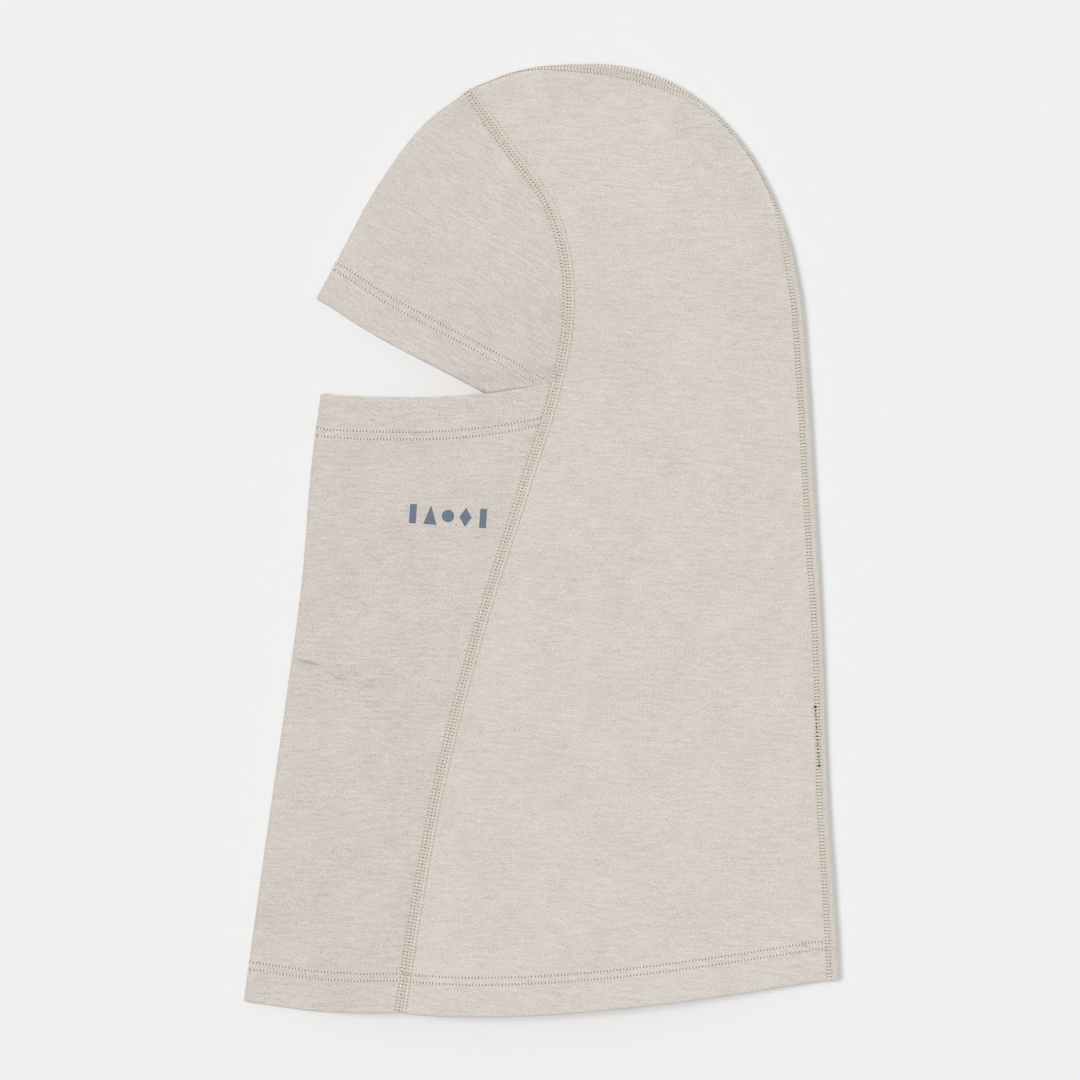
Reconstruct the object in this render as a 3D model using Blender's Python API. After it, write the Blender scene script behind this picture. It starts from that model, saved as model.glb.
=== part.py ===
"""Jersey balaclava laid flat on its right side, face to -X, crown to +Y, outside of the left side up (+Z).

Four cut panels meet in two flatlock seams: one arches over the crown between the front and the side panels,
the other runs down the centre back. Three turned hems are held by two-needle coverstitch. Every panel, every
sewing thread, the inside label and every shape of the front print is its own closed body with a small gap to
its neighbours.
"""
import math

import bpy
import numpy as np

MM = 0.001

# Cloth
THICK = 0.8                      # one layer of jersey
HEM_EXTRA = 0.9                  # added inside where the hem is turned up
FOLD_RADIUS = 2.6                # middle of the cloth at a folded edge
LOFT = 7.4                       # how far the upper layer bellies up away from the folds
LOFT_REACH = 45.0
FOLD_ARCS = 3                    # facets per quarter turn of a fold
FOLD_CENTRE = THICK / 2 + FOLD_RADIUS

# Sewing
GAP = 0.3
BUTT = 0.15                      # half the slit between two butted panels
THREAD = 0.4                     # height of a thread ribbon
COVER = 0.5                      # height of the cover thread ribbon
ROW_PITCH = 1.7                  # between flatlock needle rows
NEEDLE_HALF = 0.35
BAND_HALF = 2.8
BACK_INSET = 3.3                 # centre of the back seam, in from the folded edge
SEAM_LIFT = 1.6                  # room for the seam threads under the lower layer
SEAM_LIFT_FLAT = 3.6
SEAM_LIFT_END = 14.0
HEM_LIFT = 0.8
HEM_LIFT_FLAT = 24.0
HEM_LIFT_END = 36.0
LIFT_FADE = 25.0                 # the upper layer only follows the lift beside a fold
HEM_RAW = 20.4                   # turned edge, up from the hem fold
HEM_STEP = 1.1
HEM_ROWS = (16.4, 19.9)
BROW_ROWS = (17.3, 20.8)
NOSE_ROWS = (17.5, 21.3)
HEM_NEEDLE_HALF = 0.45
LOOPER_SPAN = (15.6, 20.1)
CROSSING_RISE = 1.5              # hem threads climbing over a seam
CROSSING_FLAT = 3.3
CROSSING_END = 4.8
CORNER_SINK = 2.3                # brow panel passing under the lower panel
CORNER_REACH = 13.0
CORNER_SPAN = (48.0, 106.0)      # y where the seam's looper thread also clears the overlapping hems
LOOPER_SHARE = 0.8               # of the band's width, for the front looper thread
LOOPER_OUT = 0.3                 # from the back seam's centre out to the edge of its looper thread
COVER_FACET = 0.7                # facet line of the back cover thread, out from the seam's centre
BACK_FIRST = 5.2                 # start of the back seam, down from the crown
BROW_STARTS = ((), (8.0,))       # first columns of the two brow rows, in from the seam
BROW_LOOPER_START = (4.0, 8.0)
NOSE_LOOPER_START = (17.0,)

# Outline of the folded cloth, millimetres, middle of the object at the origin
BACK_POINTS = ((-35.6, 225.2), (-8.0, 235.2), (18.5, 237.8), (46.0, 235.8), (76.6, 221.8), (102.0, 196.3),
               (120.3, 160.6), (129.3, 125.3), (133.3, 80.0), (136.8, 20.0), (139.6, -30.0), (143.7, -135.0),
               (147.0, -185.0), (148.7, -221.0))
BROW_FOLD_POINTS = ((-35.6, 225.2), (-56.0, 210.0), (-80.0, 179.0), (-101.0, 141.0), (-112.0, 120.5))
FRONT_FOLD_POINTS = ((-109.5, 73.5), (-114.0, 40.0), (-119.0, -20.0), (-127.0, -80.0), (-137.0, -150.0),
                     (-148.2, -231.5))
SEAM_POINTS = ((-35.6, 225.2), (-16.7, 197.7), (5.1, 166.7), (13.6, 135.0), (13.8, 108.0), (7.5, 75.6),
               (-7.5, 27.5), (-30.8, -46.0), (-50.4, -122.0), (-62.4, -187.0), (-70.0, -236.6))
NOSE_EDGE_POINTS = ((7.9, 78.5), (-12.9, 75.2), (-29.8, 73.0), (-48.6, 72.0), (-75.4, 71.8), (-109.5, 73.5))
BROW_EDGE_POINTS = ((2.4, 56.0), (-29.0, 73.2), (-66.5, 93.3), (-93.2, 108.0), (-112.0, 120.5))
HEM_EDGE_POINTS = ((-148.2, -231.5), (-126.0, -235.0), (-70.0, -236.6), (-34.0, -238.5), (-14.5, -238.5),
                   (17.5, -236.7), (73.5, -230.0), (148.7, -221.0))

# Distances down the side seam from the crown, and the partners of some of them on the outline
SEAM_ROWS = (6.0, 13.0, 23.0, 35.0, 48.0, 62.0, 77.0, 92.0, 106.0, 119.0, 132.0, 146.0, 160.0, 161.5, 162.8,
             168.5, 175.5, 181.8, 183.6, 200.0, 220.0, 240.0, 262.0, 284.0, 306.0, 328.0, 350.0, 372.0, 394.0,
             416.0, 436.0)
NOSE_AT = 160.0
BROW_AT = 183.6
BROW_HEM_FROM = 162.8
NOSE_HEM_TO = 181.8
NOSE_SLANT = 1.05                # side seam length for each millimetre up to the nose hem, met askew
HEM_MARKS = (0.0, 8.0, 15.0, 24.0)
BACK_PAIRS = ((0.0, -5.0), (6.0, 0.5), (71.0, 84.0), (112.0, 152.0), (130.0, 192.0), (163.0, 262.0))
BROW_PAIRS = ((0.0, -5.0), (6.0, 0.5), (60.0, 42.0), (110.0, 78.0), (150.0, 101.0))
HEM_STEPS = (HEM_RAW + HEM_STEP, HEM_RAW, 15.0, 8.0, 0.0)
ROW_CLEAR = (2.0, 0.5)           # least distance from a seam's two ends to the rows between
END_SHARE = 0.4                  # most of a row that the columns near one end take
ON_EDGE = 0.05

# Bulge of the hem edges below the straight line between their ends
SIDE_BULGE = 6.6
SIDE_SKEW = 0.75
FRONT_BULGE = 2.1
NOSE_BULGE = 4.3
NOSE_SKEW = 0.85
BROW_BULGE = 2.0
BROW_SKEW = 2.5
BULGE_FLAT = 25.0
BULGE_END = 120.0

# Label and print
LABEL_SPAN = (439.0, 470.5)      # along the back edge, from the crown
LABEL_DEPTH = 20.0
LABEL_INSET = 5.0
LABEL_THICK = 0.6
TACK_INSET = 2.7
PRINT_CENTRE = (-46.0, 12.0)
PRINT_TILT = math.radians(-4.0)
PRINT_PITCH = 8.8
PRINT_HEIGHT = 9.6
PRINT_HALF = 3.08                # disc and diamond
PRINT_FOOT = 3.36                # half the triangle's base
PRINT_BAR = 3.4
PRINT_THICK = 0.3
ROUND_SIDES = 20

COLOURS = {
    "cloth": (0.68, 0.63, 0.59, 1.0),
    "thread": (0.62, 0.57, 0.47, 1.0),
    "hem_thread": (0.66, 0.60, 0.54, 1.0),
    "label": (0.85, 0.85, 0.84, 1.0),
    "tack": (0.05, 0.04, 0.04, 1.0),
    "print": (0.16, 0.20, 0.26, 1.0),
}


def smooth_curve(points, step=1.0):
    """Hermite curve through the points, as a dense line of (x, y)."""
    knots = np.array(points, float)
    chords = np.linalg.norm(np.diff(knots, axis=0), axis=1)
    marks = np.concatenate([[0.0], np.cumsum(chords)])
    slopes = np.gradient(knots, marks, axis=0)
    count = int(marks[-1] / step) + 2
    where = np.linspace(0.0, marks[-1], count)
    index = np.clip(np.searchsorted(marks, where, side="right") - 1, 0, len(marks) - 2)
    width = (marks[index + 1] - marks[index])[:, None]
    u = (where - marks[index])[:, None] / width
    line = (2 * u**3 - 3 * u**2 + 1) * knots[index]
    line += (u**3 - 2 * u**2 + u) * width * slopes[index]
    line += (3 * u**2 - 2 * u**3) * knots[index + 1]
    line += (u**3 - u**2) * width * slopes[index + 1]
    return line


def lengths(line):
    steps = np.linalg.norm(np.diff(line, axis=0), axis=1)
    return np.concatenate([[0.0], np.cumsum(steps)])


def point_at(line, length):
    marks = lengths(line)
    return np.array([np.interp(length, marks, line[:, 0]), np.interp(length, marks, line[:, 1])])


def tangent_at(line, length):
    marks = lengths(line)
    near = np.clip(length, 1.0, marks[-1] - 1.0)
    step = point_at(line, near + 1.0) - point_at(line, near - 1.0)
    return step / np.linalg.norm(step)


BACK = smooth_curve(BACK_POINTS)
BROW_FOLD = smooth_curve(BROW_FOLD_POINTS)
FRONT_FOLD = smooth_curve(FRONT_FOLD_POINTS)
SEAM = smooth_curve(SEAM_POINTS)
NOSE_EDGE = smooth_curve(NOSE_EDGE_POINTS)
BROW_EDGE = smooth_curve(BROW_EDGE_POINTS)
HEM_EDGE = smooth_curve(HEM_EDGE_POINTS)
SEAM_LENGTH = lengths(SEAM)[-1]
BACK_LENGTH = lengths(BACK)[-1]
BROW_FOLD_LENGTH = lengths(BROW_FOLD)[-1]
FRONT_FOLD_LENGTH = lengths(FRONT_FOLD)[-1]
FOLDS = ((BACK, -1.0), (BROW_FOLD, 1.0), (FRONT_FOLD, 1.0))


def inward_at(line, turn, length):
    along = tangent_at(line, length)
    return turn * np.array([-along[1], along[0]])


def nearest(line, point):
    """Distance from the point to the line, and the nearest place on it."""
    start = line[:-1]
    span = line[1:] - start
    share = np.sum((point - start) * span, axis=1) / np.sum(span * span, axis=1)
    foot = start + np.clip(share, 0.0, 1.0)[:, None] * span
    gaps = np.linalg.norm(point - foot, axis=1)
    best = int(np.argmin(gaps))
    return gaps[best], foot[best], span[best] / np.linalg.norm(span[best])


def fold_distance(point):
    """Distance in from the nearest folded edge, and the way straight out of it."""
    best = None
    for line, turn in FOLDS:
        gap, foot, along = nearest(line, point)
        if best is None or gap < best[0]:
            best = (gap, foot, along, turn)
    gap, foot, along, turn = best
    outward = -turn * np.array([-along[1], along[0]])
    if gap > ON_EDGE:
        outward = (foot - point) / gap
    return gap, outward


def ease(value):
    share = min(max(value, 0.0), 1.0)
    return share * share * (3.0 - 2.0 * share)


def lift_at(point):
    """How far the lower layer stands up, so that the threads below it clear the ground."""
    seam_gap = nearest(SEAM, point)[0]
    hem_gap = min(nearest(edge, point)[0] for edge in (NOSE_EDGE, BROW_EDGE, HEM_EDGE))
    beside_seam = 1.0 - ease((seam_gap - SEAM_LIFT_FLAT) / (SEAM_LIFT_END - SEAM_LIFT_FLAT))
    beside_hem = 1.0 - ease((hem_gap - HEM_LIFT_FLAT) / (HEM_LIFT_END - HEM_LIFT_FLAT))
    return SEAM_LIFT * beside_seam + HEM_LIFT * beside_hem


def sink_at(point):
    """How far the brow panel drops to pass under the upper edge of the lower panel."""
    order = np.argsort(NOSE_EDGE[:, 0])
    edge_y = np.interp(point[0], NOSE_EDGE[order, 0], NOSE_EDGE[order, 1])
    return CORNER_SINK * (1.0 - ease((point[1] - edge_y - 1.0) / CORNER_REACH))


def on_cloth(point, layer, shift):
    """Place on the garment: layer +1 is the upper one, -1 the lower; shift is out from the cloth's middle."""
    gap, outward = fold_distance(point)
    lift = lift_at(point)
    if gap < FOLD_RADIUS:
        angle = math.acos(1.0 - gap / FOLD_RADIUS)
        flat_part = math.cos(angle)
        height = FOLD_CENTRE + layer * FOLD_RADIUS * math.sin(angle)
        rise = layer * math.sin(angle)
    else:
        inside = (gap - FOLD_RADIUS) / LOFT_REACH
        bell = math.exp(-inside * inside)
        height = FOLD_CENTRE + layer * FOLD_RADIUS
        flat_part = 0.0
        rise = float(layer)
        if layer > 0:
            height += LOFT * (1.0 - bell)
            slope = LOFT * 2.0 * inside * bell / LOFT_REACH
            flat_part = slope / math.hypot(1.0, slope)
            rise = 1.0 / math.hypot(1.0, slope)
    if layer > 0:
        lift *= math.exp(-(gap / LIFT_FADE) ** 2)
    normal = np.array([outward[0] * flat_part, outward[1] * flat_part, rise])
    place = np.array([point[0], point[1], height + lift])
    return place + normal * shift


def pair_up(pairs, ends, value):
    """Partner on the outline of a distance down the side seam."""
    known = list(pairs) + list(ends)
    return float(np.interp(value, [p[0] for p in known], [p[1] for p in known]))


def hem_bulge(amount, skew, share, gap):
    fade = 1.0 - ease((gap - BULGE_FLAT) / (BULGE_END - BULGE_FLAT))
    return -amount * math.sin(math.pi * share**skew) * fade


def seam_rows():
    return list(SEAM_ROWS) + [SEAM_LENGTH - step for step in HEM_STEPS]


def side_partner(value):
    ends = [(SEAM_LENGTH - step, BACK_LENGTH - step) for step in HEM_STEPS]
    return pair_up(BACK_PAIRS, ends, value)


def brow_partner(value):
    ends = [(BROW_AT - step, BROW_FOLD_LENGTH - step) for step in reversed(HEM_MARKS)]
    return pair_up(BROW_PAIRS, ends, value)


def front_partner(value):
    starts = [(NOSE_AT + step * NOSE_SLANT, step) for step in HEM_MARKS]
    ends = [(SEAM_LENGTH - step, FRONT_FOLD_LENGTH - step) for step in HEM_STEPS]
    return pair_up(starts, ends, value)


def side_point(value, partner, share):
    """On a row of a side panel: share 0 at the side seam, 1 one fold radius in from the back edge."""
    start = point_at(SEAM, value)
    end = point_at(BACK, partner) + inward_at(BACK, -1.0, partner) * FOLD_RADIUS
    place = start + (end - start) * share
    place[1] += hem_bulge(SIDE_BULGE, SIDE_SKEW, share, SEAM_LENGTH - value)
    return place


def brow_point(value, partner, share):
    start = point_at(SEAM, value)
    end = point_at(BROW_FOLD, partner) + inward_at(BROW_FOLD, 1.0, partner) * FOLD_RADIUS
    place = start + (end - start) * share
    place[1] += hem_bulge(BROW_BULGE, BROW_SKEW, share, BROW_AT - value)
    return place


def front_point(value, partner, share):
    start = point_at(SEAM, value)
    end = point_at(FRONT_FOLD, partner) + inward_at(FRONT_FOLD, 1.0, partner) * FOLD_RADIUS
    place = start + (end - start) * share
    place[1] += hem_bulge(FRONT_BULGE, 1.0, share, SEAM_LENGTH - value)
    place[1] += hem_bulge(NOSE_BULGE, NOSE_SKEW, share, value - NOSE_AT)
    return place


def shares(row_length, near, far, middle):
    """Shares of a row for columns at fixed distances from both ends and even ones between."""
    low = [min(d / row_length, END_SHARE * (i + 1) / len(near)) for i, d in enumerate(near)]
    high = [max(1.0 - d / row_length, 1.0 - END_SHARE * (len(far) - i) / len(far)) for i, d in enumerate(far)]
    steps = [low[-1] + (high[0] - low[-1]) * (i + 1) / (middle + 1) for i in range(middle)]
    return low + steps + high


def fold_turn(line, turn, partner, first=1):
    """Stations round a folded edge, from the layer named first to the other one."""
    base = point_at(line, partner)
    inward = inward_at(line, turn, partner)
    stations = []
    for step in range(-FOLD_ARCS + 1, FOLD_ARCS):
        depth = FOLD_RADIUS * (1.0 - math.cos(math.pi / 2 * abs(step) / FOLD_ARCS))
        layer = -first if step > 0 else first
        stations.append((base + inward * depth, layer))
    return stations


SEAM_LIFT_HALF = 8.0
NEAR_SEAM = (BUTT, SEAM_LIFT_FLAT, SEAM_LIFT_HALF, SEAM_LIFT_END)
NEAR_SEAM_BROW = NEAR_SEAM + (20.0, 27.0, 36.0)
NEAR_FOLD = (34.0, 14.0, 0.0)
MIDDLE = 3


def left_side_row(value):
    partner = side_partner(value)
    length = np.linalg.norm(side_point(value, partner, 1.0) - point_at(SEAM, value))
    columns = shares(length, NEAR_SEAM, NEAR_FOLD[:2], MIDDLE)
    row = [(side_point(value, partner, share), 1) for share in columns]
    row.append((point_at(BACK, partner) + inward_at(BACK, -1.0, partner) * (BACK_INSET + BUTT), 1))
    return row


def right_side_row(value):
    partner = side_partner(value)
    length = np.linalg.norm(side_point(value, partner, 1.0) - point_at(SEAM, value))
    columns = shares(length, NEAR_SEAM, NEAR_FOLD, MIDDLE)
    row = [(side_point(value, partner, share), -1) for share in columns]
    row += fold_turn(BACK, -1.0, partner, first=-1)
    inward = inward_at(BACK, -1.0, partner)
    base = point_at(BACK, partner)
    row.append((base + inward * FOLD_RADIUS, 1))
    row.append((base + inward * (BACK_INSET - BUTT), 1))
    return row


def folded_row(value, partner, place, line, near, middle):
    """A row of a front panel: in from the left side seam, round the front fold and back to the right one."""
    length = np.linalg.norm(place(value, partner, 1.0) - point_at(SEAM, value))
    columns = shares(length, near, NEAR_FOLD, middle)
    upper = [(place(value, partner, share), 1) for share in columns]
    lower = [(point, -1) for point, _ in reversed(upper)]
    return upper + fold_turn(line, 1.0, partner) + lower


def brow_row(value):
    return folded_row(value, brow_partner(value), brow_point, BROW_FOLD, NEAR_SEAM_BROW, 1)


def front_row(value):
    return folded_row(value, front_partner(value), front_point, FRONT_FOLD, NEAR_SEAM, 2)


def add_object(name, colour, corners, faces):
    mesh = bpy.data.meshes.new(name)
    mesh.from_pydata([tuple(float(c) * MM for c in corner) for corner in corners], [], faces)
    mesh.update()
    body = bpy.data.objects.new(name, mesh)
    bpy.context.scene.collection.objects.link(body)
    material = bpy.data.materials.new(name + "_material")
    material.use_nodes = True
    shader = material.node_tree.nodes["Principled BSDF"]
    shader.inputs["Base Color"].default_value = COLOURS[colour]
    shader.inputs["Roughness"].default_value = 0.9
    mesh.materials.append(material)
    volume = 0.0
    mesh.calc_loop_triangles()
    for triangle in mesh.loop_triangles:
        a, b, c = (mesh.vertices[i].co for i in triangle.vertices)
        volume += a.dot(b.cross(c))
    if volume < 0.0:
        mesh.flip_normals()
    return body


def shell(name, colour, outer, inner, closed=False):
    """Closed body between two grids of places; closed joins the last row to the first."""
    rows = len(outer)
    columns = len(outer[0])
    corners = [place for row in outer for place in row] + [place for row in inner for place in row]
    below = rows * columns

    def at(row, column, side):
        return side * below + (row % rows) * columns + column

    faces = []
    last = rows if closed else rows - 1
    for row in range(last):
        for column in range(columns - 1):
            faces.append((at(row, column, 0), at(row, column + 1, 0), at(row + 1, column + 1, 0),
                          at(row + 1, column, 0)))
            faces.append((at(row, column, 1), at(row + 1, column, 1), at(row + 1, column + 1, 1),
                          at(row, column + 1, 1)))
        faces.append((at(row, 0, 0), at(row + 1, 0, 0), at(row + 1, 0, 1), at(row, 0, 1)))
        end = columns - 1
        faces.append((at(row, end, 0), at(row, end, 1), at(row + 1, end, 1), at(row + 1, end, 0)))
    if not closed:
        end = rows - 1
        for column in range(columns - 1):
            faces.append((at(0, column, 0), at(0, column, 1), at(0, column + 1, 1), at(0, column + 1, 0)))
            faces.append((at(end, column, 0), at(end, column + 1, 0), at(end, column + 1, 1),
                          at(end, column, 1)))
    return add_object(name, colour, corners, faces)


def panel(name, rows, hems, sinks=False):
    """A cut panel: rows of stations, and for each row how thick its turned hem is."""
    outer = []
    inner = []
    for row, hem in zip(rows, hems):
        drops = [sink_at(point) if sinks else 0.0 for point, _ in row]
        outer.append([on_cloth(point, layer, THICK / 2 - drop) for (point, layer), drop in zip(row, drops)])
        inner.append([on_cloth(point, layer, -THICK / 2 - hem - drop)
                      for (point, layer), drop in zip(row, drops)])
    return shell(name, "cloth", outer, inner)


def ribbon(name, colour, lanes, base, height, closed=False):
    """A sewn thread as a flat ribbon: lanes are station lists side by side, base is its underside's height."""
    count = len(lanes[0])
    heights = base if isinstance(base, list) else [base] * count
    outer = [[on_cloth(lane[i][0], lane[i][1], heights[i] + height) for lane in lanes] for i in range(count)]
    inner = [[on_cloth(lane[i][0], lane[i][1], heights[i]) for lane in lanes] for i in range(count)]
    return shell(name, colour, outer, inner, closed)


def arch_lane(offset, last_row):
    """Line beside the front seam, from the left hem over the crown to the right hem."""
    values = [value for value in seam_rows() if value <= last_row + ON_EDGE]
    upper = []
    for value in values:
        along = tangent_at(SEAM, value)
        across = np.array([-along[1], along[0]])
        upper.append((point_at(SEAM, value) + across * offset, 1))
    crown = []
    line, turn = (BACK, -1.0) if offset >= 0 else (BROW_FOLD, 1.0)
    for step in range(-FOLD_ARCS, FOLD_ARCS + 1):
        depth = FOLD_RADIUS * (1.0 - math.cos(math.pi / 2 * abs(step) / FOLD_ARCS))
        place = point_at(line, abs(offset)) + inward_at(line, turn, abs(offset)) * depth
        crown.append((place, -1 if step > 0 else 1))
    lower = [(point, -1) for point, _ in upper]
    return list(reversed(upper)) + crown + lower


def back_lane(arc, first, last):
    """Line beside the back seam at an arc length in from the back edge, on the upper layer."""
    partners = [side_partner(value) for value in seam_rows()]
    inner = [value for value in partners if first + ROW_CLEAR[0] < value < last - ROW_CLEAR[1]]
    quarter = math.pi / 2 * FOLD_RADIUS
    depth = arc - quarter + FOLD_RADIUS
    if arc < quarter:
        depth = FOLD_RADIUS * (1.0 - math.cos(arc / FOLD_RADIUS))
    values = [first] + inner + [last]
    return [(point_at(BACK, value) + inward_at(BACK, -1.0, value) * depth, 1) for value in values]


def hem_lane(gap):
    """Line round the bottom opening at a distance up from the hem fold, starting beside the back seam."""
    value = SEAM_LENGTH - gap
    back = BACK_LENGTH - gap
    front = FRONT_FOLD_LENGTH - gap
    climb = (0.0, CROSSING_FLAT, CROSSING_END, SEAM_LIFT_HALF, SEAM_LIFT_END)
    length = np.linalg.norm(side_point(value, back, 1.0) - point_at(SEAM, value))
    inset = BACK_INSET - FOLD_RADIUS
    beside_back = NEAR_FOLD[:2] + (inset + CROSSING_END, inset + CROSSING_FLAT)
    side = shares(length, climb, beside_back, MIDDLE)
    near = [(side_point(value, back, share), 1) for share in side]
    far = [(side_point(value, back, share), -1) for share in shares(length, climb, NEAR_FOLD, MIDDLE)]
    width = np.linalg.norm(front_point(value, front, 1.0) - point_at(SEAM, value))
    across = shares(width, climb, NEAR_FOLD, MIDDLE - 1)[1:]
    upper = [(front_point(value, front, share), 1) for share in across]
    lower = [(point, -1) for point, _ in reversed(upper)]
    round_back = fold_turn(BACK, -1.0, back, first=-1)
    top = [(point_at(BACK, back) + inward_at(BACK, -1.0, back) * FOLD_RADIUS, 1)]
    return list(reversed(near)) + upper + fold_turn(FRONT_FOLD, 1.0, front) + lower + far + round_back + top


def over_seams(lane, base):
    """Heights of a hem thread that climbs over the seam bands it crosses."""
    heights = []
    for point, layer in lane:
        gap = nearest(SEAM, point)[0]
        edge = nearest(BACK, point)[0]
        if layer > 0 or edge < BUTT:
            gap = min(gap, abs(edge - BACK_INSET))
        climb = 1.0 - min(max((gap - CROSSING_FLAT) / (CROSSING_END - CROSSING_FLAT), 0.0), 1.0)
        heights.append(base + CROSSING_RISE * climb)
    return heights


def brow_lane(gap, near):
    """Line along the brow hem, from the left seam round the front fold to the right seam."""
    columns = near + NEAR_SEAM_BROW[3:]
    return folded_row(BROW_AT - gap, BROW_FOLD_LENGTH - gap, brow_point, BROW_FOLD, columns, 1)


def nose_lane(gap, near):
    """Line along the nose hem, from the left seam round the front fold to the right seam."""
    return folded_row(NOSE_AT + gap * NOSE_SLANT, gap, front_point, FRONT_FOLD, near, 2)


def sunk_ribbon(name, colour, lanes, base, height):
    """As ribbon, following the brow panel down under the lower panel."""
    outer = []
    inner = []
    for i in range(len(lanes[0])):
        drops = [sink_at(lane[i][0]) for lane in lanes]
        stations = [lane[i] for lane in lanes]
        outer.append([on_cloth(*station, base + height - drop) for station, drop in zip(stations, drops)])
        inner.append([on_cloth(*station, base - drop) for station, drop in zip(stations, drops)])
    return shell(name, colour, outer, inner)


def print_shape(name, corners, offset):
    """One flat shape of the front print, following the cloth."""
    cosine = math.cos(PRINT_TILT)
    sine = math.sin(PRINT_TILT)
    upper = []
    lower = []
    for x, y in corners:
        along = x + offset
        place = np.array(PRINT_CENTRE) + np.array([cosine * along - sine * y, sine * along + cosine * y])
        upper.append(on_cloth(place, 1, THICK / 2 + GAP + PRINT_THICK))
        lower.append(on_cloth(place, 1, THICK / 2 + GAP))
    count = len(corners)
    faces = [tuple(range(count)), tuple(reversed(range(count, 2 * count)))]
    faces += [(i, i + count, (i + 1) % count + count, (i + 1) % count) for i in range(count)]
    return add_object(name, "print", upper + lower, faces)


for old in list(bpy.context.scene.objects):
    bpy.data.objects.remove(old, do_unlink=True)

# Panels
all_rows = seam_rows()
hem_start = SEAM_LENGTH - HEM_RAW - ON_EDGE
side_hems = [HEM_EXTRA if value >= hem_start else 0.0 for value in all_rows]
panel("left_side_panel", [left_side_row(value) for value in all_rows], side_hems)
panel("right_side_panel", [right_side_row(value) for value in all_rows], side_hems)

brow_values = [value for value in all_rows if value <= BROW_AT]
brow_hems = [HEM_EXTRA if value >= BROW_HEM_FROM else 0.0 for value in brow_values]
panel("brow_panel", [brow_row(value) for value in brow_values], brow_hems, sinks=True)

front_values = [value for value in all_rows if value >= NOSE_AT]
front_hems = [HEM_EXTRA if value <= NOSE_HEM_TO or value >= hem_start else 0.0 for value in front_values]
panel("lower_front_panel", [front_row(value) for value in front_values], front_hems)

# Flatlock seams: cover thread, four needle threads over it, looper thread inside
cover_base = THICK / 2 + GAP
needle_base = cover_base + COVER + GAP
looper_base = -THICK / 2 - GAP - THREAD
offsets = [ROW_PITCH * (number - 1.5) for number in range(4)]

arch_lanes = [arch_lane(side * BAND_HALF, SEAM_LENGTH) for side in (-1.0, 0.0, 1.0)]
ribbon("front_seam_cover_thread", "thread", arch_lanes, cover_base, COVER)
for number, offset in enumerate(offsets, 1):
    lanes = [arch_lane(offset - NEEDLE_HALF, SEAM_LENGTH), arch_lane(offset + NEEDLE_HALF, SEAM_LENGTH)]
    ribbon(f"front_seam_needle_thread_{number}", "thread", lanes, needle_base, THREAD)

looper_end = SEAM_LENGTH - HEM_RAW - HEM_STEP
looper_lanes = [arch_lane(side * BAND_HALF * LOOPER_SHARE, looper_end) for side in (-1.0, 1.0)]
looper_depths = []
for point, layer in arch_lane(0.0, looper_end):
    deeper = HEM_EXTRA + CORNER_SINK if CORNER_SPAN[0] < point[1] < CORNER_SPAN[1] else 0.0
    looper_depths.append(looper_base - deeper)
ribbon("front_seam_looper_thread", "thread", looper_lanes, looper_depths, THREAD)

seam_arc = math.pi / 2 * FOLD_RADIUS + BACK_INSET - FOLD_RADIUS
cover_arcs = [seam_arc - BAND_HALF, seam_arc - BAND_HALF / 2, seam_arc - COVER_FACET, seam_arc + BAND_HALF]
ribbon("back_seam_cover_thread", "thread", [back_lane(arc, BACK_FIRST, BACK_LENGTH) for arc in cover_arcs],
       cover_base, COVER)
for number, offset in enumerate(offsets, 1):
    arcs = (seam_arc + offset - NEEDLE_HALF, seam_arc + offset + NEEDLE_HALF)
    lanes = [back_lane(arc, BACK_FIRST, BACK_LENGTH) for arc in arcs]
    ribbon(f"back_seam_needle_thread_{number}", "thread", lanes, needle_base, THREAD)
looper_last = BACK_LENGTH - HEM_RAW - HEM_STEP
ribbon("back_seam_looper_thread", "thread",
       [back_lane(arc, BACK_FIRST, looper_last) for arc in (seam_arc - LOOPER_OUT, seam_arc + BAND_HALF)],
       looper_base - BUTT, THREAD)

# Coverstitched hems: two needle threads outside, looper thread inside
hem_base = THICK / 2 + GAP
inside_base = -THICK / 2 - HEM_EXTRA - GAP - THREAD
for number, gap in enumerate(HEM_ROWS, 1):
    lanes = [hem_lane(gap - HEM_NEEDLE_HALF), hem_lane(gap + HEM_NEEDLE_HALF)]
    climbing = over_seams(hem_lane(gap), hem_base)
    ribbon(f"bottom_hem_needle_thread_{number}", "hem_thread", lanes, climbing, THREAD, closed=True)
ribbon("bottom_hem_looper_thread", "hem_thread", [hem_lane(gap) for gap in LOOPER_SPAN], inside_base, THREAD,
       closed=True)

for number, (gap, near) in enumerate(zip(BROW_ROWS, BROW_STARTS), 1):
    lanes = [brow_lane(gap - HEM_NEEDLE_HALF, near), brow_lane(gap + HEM_NEEDLE_HALF, near)]
    sunk_ribbon(f"brow_hem_needle_thread_{number}", "hem_thread", lanes, hem_base, THREAD)
sunk_ribbon("brow_hem_looper_thread", "hem_thread", [brow_lane(gap, BROW_LOOPER_START) for gap in LOOPER_SPAN],
            inside_base - BUTT, THREAD)

for number, gap in enumerate(NOSE_ROWS, 1):
    lanes = [nose_lane(gap + edge, NEAR_SEAM[1:]) for edge in (-HEM_NEEDLE_HALF, HEM_NEEDLE_HALF)]
    ribbon(f"nose_hem_needle_thread_{number}", "hem_thread", lanes, hem_base, THREAD)
ribbon("nose_hem_looper_thread", "hem_thread", [nose_lane(gap, NOSE_LOOPER_START) for gap in LOOPER_SPAN],
       inside_base, THREAD)

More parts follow.
